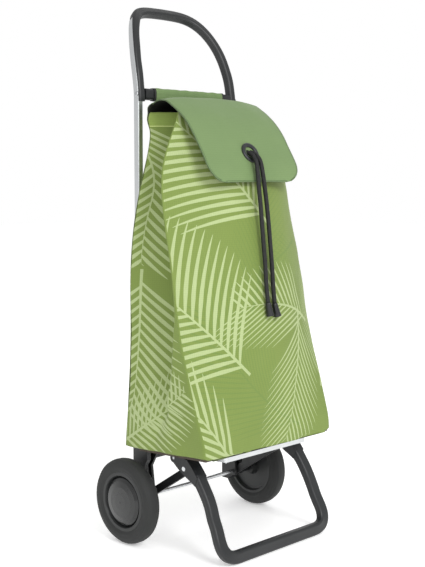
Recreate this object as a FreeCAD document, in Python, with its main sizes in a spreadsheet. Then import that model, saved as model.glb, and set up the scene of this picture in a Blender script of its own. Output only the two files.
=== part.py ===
"""Folding two-wheel shopping trolley with a drawcord bag.

Units are millimetres, +Z is up, the user stands behind the trolley at +Y and the bag faces -Y.
The origin is on the ground under the middle of the trolley's outline.
"""
import FreeCAD, Part
import math
import os

V = FreeCAD.Vector
doc = FreeCAD.newDocument("ShoppingTrolley")

# ---------------------------------------------------------------- driving dimensions
SIZES = {
    "wheel_radius": 82.5, "wheel_track": 359.4, "tyre_width": 34, "rim_radius": 57,
    "axle_setback": 66, "axle_radius": 4, "axle_length": 384,
    "rail_spacing": 254, "rail_width": 12, "rail_depth": 14, "rail_setback": 86.4,
    "rail_foot": 72, "handle_foot": 848, "crossbar_height": 862,
    "fold_setback": 46, "fold_height": 178, "platform_tilt": 3.48,
    "platform_reach": 181, "platform_half": 113, "platform_bar": 12, "platform_deep": 12.8,
    "foot_pivot_reach": 80, "foot_pivot_setback": -34, "foot_pivot_height": 180,
    "strut_pin_setback": -61, "strut_pin_height": 164, "strut_thick": 6, "strut_deep": 15,
    "strut_inner": 119.5, "leg_inner": 126, "leg_width": 25,
    "cheek_inner": 113.4, "cheek_outer": 136, "cheek_thick": 5.2,
    "bag_back": 74, "bag_half": 175, "bag_front": -147, "cloth": 2,
    "lid_half": 124, "lid_hinge_setback": 55, "lid_hinge_height": 850,
    "eyelet_setback": -87, "eyelet_height": 748.6, "eyelet_radius": 21, "eyelet_hole": 13.9,
    "cord_radius": 4.2, "cap_radius": 7.5, "cap_length": 26,
}
sheet = doc.addObject("Spreadsheet::Sheet", "Sizes")
for row, (alias, number) in enumerate(SIZES.items(), start=1):
    sheet.set("A%d" % row, alias)
    sheet.set("B%d" % row, str(number))
    sheet.setAlias("B%d" % row, alias)
doc.recompute()


def size(alias):
    """The number that the sheet holds under an alias."""
    return float(sheet.get(alias))


parts = []          # the finished sub-parts, each with its own Label


def keep(thing, label):
    """Give a finished object the label that names its file."""
    thing.Label = label
    parts.append(thing)
    return thing


def bind(thing, **expressions):
    """Bind properties to sheet cells; a double underscore stands for a dot."""
    for path, text in expressions.items():
        name = path.replace("__", ".")
        for alias in sorted(SIZES, key=len, reverse=True):
            text = text.replace("#" + alias, "Sizes." + alias)
        thing.setExpression(name, text)
    return thing


def place(thing, x="0", y="0", z="0"):
    """Bind an object's position to sheet cells."""
    return bind(thing, Placement__Base__x=x, Placement__Base__y=y, Placement__Base__z=z)


TURN_TO_X = FreeCAD.Rotation(V(0, 1, 0), 90)


def rod(name, radius, length, x, y, z):
    """A cylinder along X that starts at x."""
    cylinder = doc.addObject("Part::Cylinder", name)
    cylinder.Placement = FreeCAD.Placement(V(), TURN_TO_X)
    bind(cylinder, Radius=radius, Height=length)
    return place(cylinder, x, y, z)


def cut(name, base, tool):
    result = doc.addObject("Part::Cut", name)
    result.Base, result.Tool = base, tool
    return result


def feature(name, shape):
    """A shape made with Part's own functions, where no feature makes it."""
    thing = doc.addObject("Part::Feature", name)
    thing.Shape = shape
    return thing


def pin_solid(radius, x_from, x_to, y, z):
    """A plain round solid along X."""
    low, high = sorted((x_from, x_to))
    return Part.makeCylinder(radius, high - low, V(low, y, z), V(1, 0, 0))


def both_sides(make):
    """The same solid on the right and, mirrored, on the left."""
    right = make()
    return right, right.mirror(V(0, 0, 0), V(1, 0, 0))


def prism(corners, x_from, x_to):
    """A YZ outline given thickness along X."""
    wire = Part.makePolygon([V(x_from, y, z) for y, z in corners + corners[:1]])
    return Part.Face(wire).extrude(V(x_to - x_from, 0, 0))


def round_long_edges(solid, radius):
    """Round the edges that run along X."""
    edges = [e for e in solid.Edges if e.Length > 5 and abs(e.tangentAt(e.FirstParameter).x) > 0.999]
    return solid.makeFillet(radius, edges)


# ---------------------------------------------------------------- bent bars
def rounded_section(centre, wide, deep, width, depth, radius):
    """A closed rounded rectangle about a centre, in the plane of two unit vectors."""
    def at(u, v):
        return centre + wide * u + deep * v
    hw, hd = width / 2, depth / 2
    k = radius * (1 - math.sqrt(0.5))
    edges = []
    ring = [(1, 1), (-1, 1), (-1, -1), (1, -1)]
    for i, (su, sv) in enumerate(ring):
        if su * sv > 0:
            first, last = at(su * hw, sv * (hd - radius)), at(su * (hw - radius), sv * hd)
        else:
            first, last = at(su * (hw - radius), sv * hd), at(su * hw, sv * (hd - radius))
        edges.append(Part.Arc(first, at(su * (hw - k), sv * (hd - k)), last).toShape())
        nu, nv = ring[(i + 1) % 4]
        if nu * nv > 0:
            following = at(nu * hw, nv * (hd - radius))
        else:
            following = at(nu * (hw - radius), nv * hd)
        edges.append(Part.LineSegment(last, following).toShape())
    return Part.Wire(edges)


def bar_frames(stations):
    """Centre, wide axis and deep axis at each station of a bent bar.

    A station is (x, y, z, slope): slope is the angle, in degrees from level,
    of the plane that the bar bends in.
    """
    centres = [V(*station[:3]) for station in stations]
    frames = []
    for i, station in enumerate(stations):
        along = centres[min(i + 1, len(centres) - 1)] - centres[max(i - 1, 0)]
        along.normalize()
        slope = math.radians(station[3])
        normal = V(0, -math.sin(slope), math.cos(slope))
        wide = normal.cross(along).normalize()
        deep = along.cross(wide).normalize()
        frames.append((centres[i], wide, deep))
    return frames


def bar(frames, widths, depths, radius, shift=(0, 0)):
    """A loft of rounded sections along a bent bar, moved sideways by shift."""
    wires = []
    for (centre, wide, deep), width, depth in zip(frames, widths, depths):
        middle = centre + wide * shift[0] + deep * shift[1]
        wires.append(rounded_section(middle, wide, deep, width, depth, radius))
    return Part.makeLoft(wires, True, False)


# ---------------------------------------------------------------- rails and handle
RAIL_X = size("rail_spacing") / 2
HANDLE_W, HANDLE_D = 17.0, 17.4
ARM_X = RAIL_X + size("rail_width") / 2 - HANDLE_W / 2
ARM_Y = size("rail_setback") + size("rail_depth") / 2 - HANDLE_D / 2
# one arm of the handle from its foot to the middle of the top bar
ARM = [
    (ARM_X, ARM_Y, size("handle_foot"), 90), (ARM_X, ARM_Y + 0.6, 866, 88),
    (ARM_X - 0.5, ARM_Y + 4, 890, 81), (ARM_X - 2.2, ARM_Y + 10, 915, 74),
    (ARM_X - 6, ARM_Y + 18, 940, 68), (ARM_X - 12.5, ARM_Y + 28, 965, 62),
    (ARM_X - 22, ARM_Y + 40, 988, 57), (ARM_X - 36, ARM_Y + 54, 1009, 52),
    (ARM_X - 56, ARM_Y + 67.3, 1024, 48), (ARM_X - 82, ARM_Y + 73.8, 1030, 46),
    (0.0, ARM_Y + 75.8, 1031.5, 45),
]
LEFT_ARM = [(-x, y, z, slope) for x, y, z, slope in ARM[:-1]]
loop_frames = bar_frames(ARM + LEFT_ARM[::-1])
count = len(loop_frames)
tops = [HANDLE_W + 2.5 * min(1, max(0, z - 985) / 40) for x, y, z, s in ARM + LEFT_ARM[::-1]]
handle = bar(loop_frames, tops, [HANDLE_D] * count, 5.5)

RAIL_TOP = 8                     # the station of the arm where the rail ends
STRAIGHT_STEPS = 32              # even stations keep the straight length of the loft straight
straight_length = size("handle_foot") - size("rail_foot")
SCREW_RADIUS = 2.0
crossbar_z = size("crossbar_height")
rails = {}
for side, name in ((1, "rail_right"), (-1, "rail_left")):
    steps = range(STRAIGHT_STEPS)
    straight = [(ARM_X, ARM_Y, size("rail_foot") + straight_length * k / STRAIGHT_STEPS, 90) for k in steps]
    stations = [(side * x, y, z, s) for x, y, z, s in straight + ARM]
    frames = bar_frames(stations)[:STRAIGHT_STEPS + RAIL_TOP]
    outward = V(side, 0, 0).dot(frames[0][1])
    rear = V(0, 1, 0).dot(frames[0][2])
    move = (outward * (HANDLE_W - size("rail_width")) / 2, rear * (HANDLE_D - size("rail_depth")) / 2)
    wide_move = (move[0] + 0.95 * outward, move[1] + 0.95 * rear)
    rails[name] = bar(frames, [size("rail_width")] * len(frames), [size("rail_depth")] * len(frames),
                      2.2, move)
    pocket = bar(frames, [size("rail_width") + 2.1] * len(frames),
                 [size("rail_depth") + 2.1] * len(frames), 2.2, wide_move)
    handle = handle.cut(pocket)

screw_y = size("rail_setback") - 3
screw_bores = [pin_solid(SCREW_RADIUS + 0.1, s * 105, s * 140, screw_y, crossbar_z) for s in (1, -1)]
rivet_heights = (96, 134)
for name, rail in rails.items():
    side = 1 if name == "rail_right" else -1
    rail = rail.cut(screw_bores[0 if side > 0 else 1])
    for height in rivet_heights:
        rail = rail.cut(pin_solid(2.1, side * 110, side * 140, size("rail_setback"), height))
    keep(feature(name, rail), name)
keep(feature("handle_loop", handle.cut(screw_bores[0]).cut(screw_bores[1])), "handle_loop")

# the crossbar stands between the arms, and the sleeve of the bag wraps it
crossbar_half = ARM_X - HANDLE_W / 2 - 0.3
CROSSBAR_DEEP, CROSSBAR_TALL = 14.0, 22.0
bar_wire = rounded_section(V(-crossbar_half, screw_y, crossbar_z), V(0, 1, 0), V(0, 0, 1),
                           CROSSBAR_DEEP, CROSSBAR_TALL, 5.0)
crossbar = Part.Face(bar_wire).extrude(V(2 * crossbar_half, 0, 0))
keep(feature("crossbar", crossbar.cut(screw_bores[0]).cut(screw_bores[1])), "crossbar")

SLEEVE_HALF, SLEEVE_GAP, SLEEVE_WALL = 95.0, 0.3, 1.4
sleeve_skins = []
for spread in (SLEEVE_GAP, SLEEVE_GAP + SLEEVE_WALL):
    wire = rounded_section(V(-SLEEVE_HALF, screw_y, crossbar_z), V(0, 1, 0), V(0, 0, 1),
                           CROSSBAR_DEEP + 2 * spread, CROSSBAR_TALL + 2 * spread, 5.0 + spread)
    sleeve_skins.append(Part.Face(wire).extrude(V(2 * SLEEVE_HALF, 0, 0)))
keep(feature("crossbar_sleeve", sleeve_skins[1].cut(sleeve_skins[0])), "crossbar_sleeve")


def screw(x_face, y, z, reach, head_radius, head_high, radius):
    """A pan-head screw or rivet that enters at x_face and points to the middle."""
    side = 1 if x_face > 0 else -1
    shank = pin_solid(radius, x_face, x_face - side * reach, y, z)
    head = pin_solid(head_radius, x_face, x_face + side * head_high, y, z)
    rim = [e for e in head.Edges if abs(e.CenterOfMass.x - (x_face + side * head_high)) < 0.01]
    return shank.fuse(head.makeFillet(head_high * 0.6, rim)).removeSplitter()


rail_face = RAIL_X + size("rail_width") / 2
keep(feature("crossbar_screws", Part.makeCompound(
    [screw(s * (rail_face + 0.1), screw_y, crossbar_z, 26, 4.5, 2.4, SCREW_RADIUS) for s in (1, -1)])),
    "crossbar_screws")

# ---------------------------------------------------------------- brackets at the feet of the rails
axle_y, axle_z = size("axle_setback"), size("wheel_radius")
fold_y, fold_z = size("fold_setback"), size("fold_height")
cheek_in, cheek_out = size("cheek_inner"), size("cheek_outer")
cheek_thick = size("cheek_thick")
BOSS = 9.0
PIVOT_PIN = 3.0
BRACKET_BACK = 98.0
BRACKET_TOP = 191.0
block_front = axle_y + 10


def bracket():
    """The moulded foot of the right rail: a rail socket and two cheeks for axle and strut."""
    body = prism([(BRACKET_BACK, 64), (BRACKET_BACK, BRACKET_TOP), (block_front, BRACKET_TOP),
                  (block_front, 64)], cheek_in, cheek_out)
    body = round_long_edges(body, 2.5)
    outer = prism([(block_front + 2, 66), (block_front + 2, 187.5), (axle_y - 9, 186),
                   (axle_y - 9, 155), (axle_y - 1, 143), (axle_y - BOSS, axle_z)],
                  cheek_out - 9.5, cheek_out)
    outer = outer.fuse(pin_solid(BOSS, cheek_out - 9.5, cheek_out, axle_y, axle_z))
    inner = prism([(block_front + 2, 66), (block_front + 2, 184), (fold_y, fold_z + 6.1),
                   (fold_y, fold_z - 6.1), (axle_y - 1, 140), (axle_y - BOSS, axle_z)],
                  cheek_in, cheek_in + cheek_thick)
    inner = inner.fuse(pin_solid(BOSS, cheek_in, cheek_in + cheek_thick, axle_y, axle_z))
    inner = inner.fuse(pin_solid(6.1, cheek_in, cheek_in + cheek_thick, fold_y, fold_z))
    body = body.fuse([outer, inner]).removeSplitter()
    socket = rounded_section(V(RAIL_X, size("rail_setback"), size("rail_foot")), V(1, 0, 0), V(0, 1, 0),
                             size("rail_width") + 0.2, size("rail_depth") + 0.2, 2.2)
    body = body.cut(Part.Face(socket).extrude(V(0, 0, 200)))
    body = body.cut(pin_solid(size("axle_radius"), 100, 150, axle_y, axle_z))
    body = body.cut(pin_solid(PIVOT_PIN + 0.05, 100, 125, fold_y, fold_z))
    for height in rivet_heights:
        body = body.cut(pin_solid(2.1, 100, 150, size("rail_setback"), height))
    return body


right_bracket, left_bracket = both_sides(bracket)
keep(feature("rail_bracket_right", right_bracket), "rail_bracket_right")
keep(feature("rail_bracket_left", left_bracket), "rail_bracket_left")
keep(feature("bracket_rivets", Part.makeCompound(
    [screw(s * cheek_out, size("rail_setback"), h, cheek_out - cheek_in - 0.5, 4.0, 1.6, 2.0)
     for s in (1, -1) for h in rivet_heights])), "bracket_rivets")

# the tube that ties the two brackets together behind the bag
tie = rod("tie_tube", "7", "2 * #cheek_inner", "-#cheek_inner", "#rail_setback + 2", "152")
tie_bore = rod("tie_bore", "5.5", "2 * #cheek_inner", "-#cheek_inner", "#rail_setback + 2", "152")
keep(cut("lower_tie_bar", tie, tie_bore), "lower_tie_bar")

# ---------------------------------------------------------------- axle and wheels
keep(rod("axle", "#axle_radius", "#axle_length", "-#axle_length / 2", "#axle_setback", "#wheel_radius"),
     "axle")
half_track = size("wheel_track") / 2
HUB_INNER = half_track - 17.5
spacers, nuts = [], []
for side in (1, -1):
    tube = pin_solid(7.5, side * (cheek_out + 0.4), side * (HUB_INNER - 0.5), axle_y, axle_z)
    bore = pin_solid(size("axle_radius"), side * cheek_out, side * HUB_INNER, axle_y, axle_z)
    spacers.append(tube.cut(bore))
    end = size("axle_length") / 2
    nut = pin_solid(7.0, side * (half_track + 8.0), side * (end - 1), axle_y, axle_z)
    nuts.append(nut.cut(pin_solid(size("axle_radius"), side * 150, side * (end + 1), axle_y, axle_z)))
keep(feature("axle_spacers", Part.makeCompound(spacers)), "axle_spacers")
keep(feature("axle_push_nuts", Part.makeCompound(nuts)), "axle_push_nuts")


def outline_sketch(body, plane_role, corners):
    """A closed outline on one of the body's own planes, each corner bound to the sheet."""
    sketch = body.newObject("Sketcher::SketchObject", body.Name + "_outline")
    plane = [f for f in body.Origin.OriginFeatures if f.Role == plane_role][0]
    sketch.AttachmentSupport = [(plane, "")]
    sketch.MapMode = "FlatFace"
    texts = []
    for pair in corners:
        changed = []
        for text in pair:
            for alias in sorted(SIZES, key=len, reverse=True):
                text = text.replace("#" + alias, "Sizes." + alias)
            changed.append(text)
        texts.append(changed)
    points = [V(float(sketch.evalExpression(a)), float(sketch.evalExpression(b)), 0) for a, b in texts]
    for i, point in enumerate(points):
        sketch.addGeometry(Part.LineSegment(point, points[(i + 1) % len(points)]), False)
    import Sketcher
    for i in range(len(points)):
        sketch.addConstraint(Sketcher.Constraint("Coincident", i, 2, (i + 1) % len(points), 1))
    for i, point in enumerate(points):
        for kind, number, text, axis in (("DistanceX", point.x, texts[i][0], -2),
                                         ("DistanceY", point.y, texts[i][1], -1)):
            if abs(number) < 1e-9:
                sketch.addConstraint(Sketcher.Constraint("PointOnObject", i, 1, axis))
            else:
                index = sketch.addConstraint(Sketcher.Constraint(kind, -1, 1, i, 1, number))
                sketch.setExpression("Constraints[%d]" % index, text)
    return sketch


def turned(label, side, corners):
    """A body of revolution about X; corners are (outward distance, radius) from the wheel's middle."""
    body = doc.addObject("PartDesign::Body", label)
    sketch = outline_sketch(body, "XZ_Plane", corners)
    spin = body.newObject("PartDesign::Revolution", label + "_turn")
    spin.Profile = sketch
    spin.ReferenceAxis = (sketch, ["H_Axis"])
    spin.Angle = 360
    if side < 0:
        body.Placement = FreeCAD.Placement(V(), FreeCAD.Rotation(V(0, 0, 1), 180))
    sign = "" if side > 0 else "-"
    place(body, sign + "#wheel_track / 2", "#axle_setback", "#wheel_radius")
    return keep(body, label)


for side, name in ((1, "right"), (-1, "left")):
    turned("tyre_" + name, side, [
        ("-#tyre_width / 2 + 3", "#rim_radius"), ("-#tyre_width / 2", "#rim_radius + 6"),
        ("-#tyre_width / 2", "#wheel_radius - 13"), ("-#tyre_width / 2 + 2.5", "#wheel_radius - 6"),
        ("-#tyre_width / 2 + 7.5", "#wheel_radius - 1.4"), ("-4", "#wheel_radius"),
        ("4", "#wheel_radius"), ("#tyre_width / 2 - 7.5", "#wheel_radius - 1.4"),
        ("#tyre_width / 2 - 2.5", "#wheel_radius - 6"), ("#tyre_width / 2", "#wheel_radius - 13"),
        ("#tyre_width / 2", "#rim_radius + 6"), ("#tyre_width / 2 - 3", "#rim_radius")])
    turned("hub_" + name, side, [
        ("-17.5", "7"), ("-17.5", "14"), ("-7", "18"), ("-7", "49"), ("-14", "52"),
        ("-14", "#rim_radius"), ("#tyre_width / 2 - 3", "#rim_radius"), ("#tyre_width / 2 - 3", "51"),
        ("7.6", "47.5"), ("0", "46"), ("0", "18"), ("7", "14"), ("7", "7")])
    turned("hub_bush_" + name, side, [
        ("-17.5", "#axle_radius + 0.05"), ("-17.5", "7"), ("7", "7"), ("7", "#axle_radius + 0.05")])
    turned("hubcap_" + name, side, [
        ("8", "44"), ("8", "46.5"), ("11", "46"), ("15", "40"), ("17.4", "29"), ("18.6", "15"),
        ("19", "0"), ("17", "0"), ("16.5", "15"), ("15.2", "28"), ("13", "38.5")])

# ---------------------------------------------------------------- struts, foot loop and platform
pin_y, pin_z = size("strut_pin_setback"), size("strut_pin_height")
pivot_y, pivot_z = size("foot_pivot_setback"), size("foot_pivot_height")


def strut():
    """The flat link from the axle to the leg, round at both ends."""
    length = math.hypot(pin_y - axle_y, pin_z - axle_z)
    rise = math.degrees(math.atan2(pin_z - axle_z, axle_y - pin_y))
    half = size("strut_deep") / 2
    inner, thick = size("strut_inner"), size("strut_thick")
    plate = Part.makeBox(thick, length, 2 * half, V(inner, -length, -half))
    eye = pin_solid(half + 0.5, inner, inner + thick, 0, 0)
    tip = pin_solid(half, inner, inner + thick, -length, 0)
    link = plate.fuse([eye, tip]).removeSplitter()
    link = link.cut(pin_solid(size("axle_radius") + 0.06, 100, 150, 0, 0))
    link = link.cut(pin_solid(3.4, 100, 150, -length, 0))
    link.rotate(V(0, 0, 0), V(-1, 0, 0), rise)
    link.translate(V(0, axle_y, axle_z))
    return link


for solid, label in zip(both_sides(strut), ("strut_right", "strut_left")):
    keep(feature(label, solid), label)

leg_in = size("leg_inner")
leg_x = leg_in + size("leg_width") / 2
BAR_Y, BAR_Z = -163.0, (size("leg_width") - 1) / 2
BAR_DEPTH = 16.0
BAR_HALF = 100.0                 # half the straight length of the bar
LEG = [
    (leg_x, -88, 151, 46), (leg_x, -97, 141, 50), (leg_x + 0.5, -111, 122, 55),
    (leg_x + 1.5, -124, 99, 62), (leg_x + 3, -136, 72, 67), (leg_x + 5, -147, 50, 69),
    (leg_x + 5.5, -152.5, 38, 72), (leg_x + 2, -157.5, 26, 76), (leg_x - 6.5, -161, 17.3, 82),
    (leg_x - 19, BAR_Y + 0.3, 13, 88), (BAR_HALF + 9, BAR_Y, BAR_Z, 90), (BAR_HALF, BAR_Y, BAR_Z, 90),
]
LEG_DEPTHS = [21, 18, 17, 16.5] + [BAR_DEPTH] * 8


def foot():
    """The loop that the trolley stands on: two legs, bent into one bar at the front."""
    frames = bar_frames(LEG)
    leg = bar(frames, [2 * BAR_Z] * len(frames), LEG_DEPTHS, 5.0)
    end = rounded_section(V(-BAR_HALF, BAR_Y, BAR_Z), V(0, 0, 1), V(0, 1, 0), 2 * BAR_Z, BAR_DEPTH, 5.0)
    middle = Part.Face(end).extrude(V(2 * BAR_HALF, 0, 0))
    loop = middle.fuse([leg, leg.mirror(V(0, 0, 0), V(1, 0, 0))])
    tops = []
    for side in (1, -1):
        top = prism([(-98, 154), (-84, 170), (-71, 182.5), (pivot_y, pivot_z + 8.6),
                     (pivot_y, pivot_z - 8.6), (-47, 161.5), (-69, 149), (-84, 141.5), (-92, 137)],
                    side * leg_in, side * (leg_in + size("leg_width")))
        top = top.fuse(pin_solid(8.6, side * leg_in, side * (leg_in + size("leg_width")),
                                 pivot_y, pivot_z))
        tops.append(top)
    whole = loop.fuse(tops).removeSplitter()
    for side in (1, -1):
        whole = whole.cut(pin_solid(3.05, side * 100, side * 160, pivot_y, pivot_z))
        whole = whole.cut(pin_solid(3.05, side * 100, side * 160, pin_y, pin_z))
        whole = whole.cut(pin_solid(5.2, side * (leg_in + size("leg_width") - 2), side * 160,
                                    pin_y, pin_z))
    return whole


keep(feature("foot_loop", foot()), "foot_loop")
leg_face = leg_in + size("leg_width") - 2
keep(feature("strut_rivets", Part.makeCompound(
    [screw(s * leg_face, pin_y, pin_z, size("leg_width") - 2, 5.0, 1.8, 3.0) for s in (1, -1)])),
    "strut_rivets")
keep(feature("foot_pivot_pins", Part.makeCompound(
    [pin_solid(3.0, s * 103, s * 150.5, pivot_y, pivot_z) for s in (1, -1)])), "foot_pivot_pins")
keep(feature("fold_hinge_pins", Part.makeCompound(
    [pin_solid(PIVOT_PIN, s * 103, s * (cheek_in + cheek_thick), fold_y, fold_z) for s in (1, -1)])),
    "fold_hinge_pins")

tilt = size("platform_tilt")


def tilted(shape):
    """Turn a shape from level to the platform's own slope about the fold hinge."""
    shape.rotate(V(0, fold_y, fold_z), V(-1, 0, 0), tilt)
    return shape


def platform():
    """The open aluminium frame under the bag: a front bar and two arms back to the hinge."""
    half, thick, tall = size("platform_half"), size("platform_bar"), size("platform_deep")
    front = fold_y - size("platform_reach")
    low = fold_z - tall / 2
    bars = [Part.makeBox(2 * half, thick, tall, V(-half, front, low))]
    for side in (1, -1):
        x = side * half - (thick if side > 0 else 0)
        bars.append(Part.makeBox(thick, fold_y - front, tall, V(x, front, low)))
        bars.append(pin_solid(tall / 2, x, x + thick, fold_y, fold_z))
    frame = bars[0].fuse(bars[1:]).removeSplitter()
    corners = [e for e in frame.Edges
               if abs(e.tangentAt(e.FirstParameter).z) > 0.99 and abs(e.CenterOfMass.x) > half - 1
               and e.CenterOfMass.y < front + 1]
    frame = tilted(frame.makeFillet(5.5, corners))
    for side in (1, -1):
        frame = frame.cut(pin_solid(PIVOT_PIN + 0.05, side * 95, side * 120, fold_y, fold_z))
        frame = frame.cut(pin_solid(3.05, side * 95, side * 120, pivot_y, pivot_z))
    return frame


keep(feature("platform_frame", platform()), "platform_frame")
plane_top = fold_z + size("platform_deep") / 2
BOARD_THICK, BOARD_REAR = 4.0, 38.0
board = tilted(Part.makeBox(344, BOARD_REAR + 143, BOARD_THICK, V(-172, -143, plane_top)))
keep(feature("base_board", board), "base_board")


def stud():
    """A domed rubber stud under a front corner of the bag's base."""
    disc = Part.makeCylinder(17, 7, V(132.5, -106, plane_top - 7), V(0, 0, 1))
    rim = [e for e in disc.Edges if abs(e.CenterOfMass.z - (plane_top - 7)) < 0.01]
    return tilted(disc.makeFillet(5.5, rim))


keep(feature("base_studs", Part.makeCompound(list(both_sides(stud)))), "base_studs")

# ---------------------------------------------------------------- bag
cloth = size("cloth")
back_y = size("bag_back")
slope = math.tan(math.radians(tilt))


def base_height(y):
    """The height of the bag's lower edge, just above the sloping platform."""
    return plane_top + 0.7 + (fold_y - y) * slope


# levels of the bag: height, rear half width, corner half width, corner y, middle y
LEVELS = [
    (None, size("bag_half"), size("bag_half"), size("bag_front"), size("bag_front")),
    (443, 160, 176, -87, -129), (600, 150, 174, -42, -107), (700, 128, 171, -22, -93),
    (790, 108, 132, -18, -46), (822, 113, 115, -12, -24),
]


def bag_ring(level, inset, rear):
    """One closed outline of the bag wall, drawn in by inset, with its open side at rear."""
    height, rear_half, corner_half, corner_y, middle_y = level
    flat = [(rear_half - inset, rear), (corner_half - inset, corner_y + inset * 0.6),
            (0.55 * corner_half, corner_y + 0.8 * (middle_y - corner_y) + inset),
            (0.2 * corner_half, middle_y + inset)]
    flat = flat + [(-x, y) for x, y in flat[::-1]]
    points = [V(x, y, base_height(y) if height is None else height) for x, y in flat]
    return Part.makePolygon(points + points[:1])


def bag_shell():
    """The front and sides of the bag, open at the top, at the base and against the back panel."""
    outer = Part.makeLoft([bag_ring(l, 0, back_y - cloth - 0.4) for l in LEVELS], True, True)
    inner = Part.makeLoft([bag_ring(l, cloth, back_y + 10) for l in LEVELS], True, True)
    top = Part.Face(bag_ring(LEVELS[-1], cloth, back_y + 10)).extrude(V(0, 0, 5))
    low = Part.Face(bag_ring(LEVELS[0], cloth, back_y + 10)).extrude(V(0, 0, -5))
    return outer.cut(inner).cut(top).cut(low)


keep(feature("bag_shell", bag_shell()), "bag_shell")
back_outline = [V(x, back_y, z) for x, z in
                ((175, 189), (160, 443), (150, 600), (128, 700), (108, 790), (113, 828),
                 (-113, 828), (-108, 790), (-128, 700), (-150, 600), (-160, 443), (-175, 189))]
back_panel = Part.Face(Part.makePolygon(back_outline + back_outline[:1])).extrude(V(0, -cloth, 0))
keep(feature("bag_back", back_panel), "bag_back")
pocket = Part.makeBox(200, 4.6, 210, V(-100, back_y + 0.2, 330))
keep(feature("back_pocket", pocket), "back_pocket")

# ---------------------------------------------------------------- lid, eyelet and drawcords
hinge_y, hinge_z = size("lid_hinge_setback"), size("lid_hinge_height")
# the lid's outer line from its hinge, over the mouth and down the front
LID_LINE = [(hinge_y - 3, hinge_z + 2.5), (34, 857.5), (10, 853.5), (-12, 840), (-36, 820.5),
            (-55, 799), (-72, 773.5), (-87, 748.6), (-98, 727), (-104, 711), (-106, 697)]
eye = V(0, size("eyelet_setback"), size("eyelet_height"))
eye_normal = V(0, -0.873, 0.488).normalize()


def ring(outer_radius, inner_radius, low, high):
    """A ring about the eyelet's axis, between two distances from the lid's outer face."""
    base = eye + eye_normal * low
    return Part.makeCylinder(outer_radius, high - low, base, eye_normal).cut(
        Part.makeCylinder(inner_radius, high - low, base, eye_normal))


flange = ring(size("eyelet_radius"), size("eyelet_hole"), 0.9, 3.3)
barrel = ring(size("eyelet_hole") + 1.6, size("eyelet_hole"), -5.0, 0.9)
keep(feature("eyelet_front", flange.fuse(barrel).removeSplitter()), "eyelet_front")
keep(feature("eyelet_washer", ring(size("eyelet_radius") - 1, size("eyelet_hole") + 1.8, -5.0, -3.2)),
     "eyelet_washer")


def lid():
    """The lid: a sheet bent over the mouth of the bag, with round front corners."""
    line = [V(0, y, z) for y, z in LID_LINE]
    curve = Part.BSplineCurve()
    curve.interpolate(line)
    outer = curve.toShape()
    half = size("lid_half")
    skin = outer.copy()
    skin.translate(V(-half, 0, 0))
    face = skin.extrude(V(2 * half, 0, 0))
    inner_line = []
    for i, point in enumerate(line):
        along = line[min(i + 1, len(line) - 1)] - line[max(i - 1, 0)]
        normal = V(0, -along.z, along.y).normalize()
        inner_line.append(point + normal * -cloth if normal.z < 0 else point - normal * cloth)
    inner = Part.BSplineCurve()
    inner.interpolate(inner_line)
    ends = [Part.LineSegment(line[-1], inner_line[-1]).toShape(),
            Part.LineSegment(inner_line[0], line[0]).toShape()]
    profile = Part.Wire([outer, ends[0], inner.toShape(), ends[1]])
    sheet_solid = Part.Face(profile).extrude(V(half, 0, 0))
    sheet_solid = sheet_solid.fuse(sheet_solid.mirror(V(0, 0, 0), V(1, 0, 0))).removeSplitter()
    radius = 42
    low = LID_LINE[-1][1]
    for side in (1, -1):
        corner = Part.makeBox(radius, 60, radius, V(side * half - (radius if side > 0 else 0), -130, low))
        round_end = Part.makeCylinder(radius, 60, V(side * (half - radius), -130, low + radius), V(0, 1, 0))
        sheet_solid = sheet_solid.cut(corner.cut(round_end))
    hole = Part.makeCylinder(size("eyelet_hole") + 2.2, 30, eye - eye_normal * 15, eye_normal)
    # the cloth is pressed in under the eyelet's flange and over its washer
    seat = ring(size("eyelet_radius") + 0.3, size("eyelet_hole"), 0.8, 8.0)
    under = ring(size("eyelet_radius") + 0.3, size("eyelet_hole"), -8.0, -3.1)
    return sheet_solid.cut(hole).cut(seat).cut(under)


keep(feature("lid_flap", lid()), "lid_flap")


def rounded_path(points):
    """Straight runs joined by tangent arcs, each as large as its two runs allow."""
    edges, radii, start = [], [], points[0]
    for before, corner, after in zip(points, points[1:], points[2:]):
        back, on = before - corner, after - corner
        run = 0.45 * min(back.Length, on.Length)
        turn = math.pi - back.getAngle(on)
        radii.append(round(run / math.tan(turn / 2), 1))
        back.normalize()
        on.normalize()
        first, last = corner + back * run, corner + on * run
        middle_way = (back + on).normalize()
        radius = run / math.tan(turn / 2)
        centre = corner + middle_way * (radius / math.cos(turn / 2))
        edges.append(Part.LineSegment(start, first).toShape())
        edges.append(Part.Arc(first, centre - middle_way * radius, last).toShape())
        start = last
    edges.append(Part.LineSegment(start, points[-1]).toShape())
    return Part.Wire(edges), radii


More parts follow.
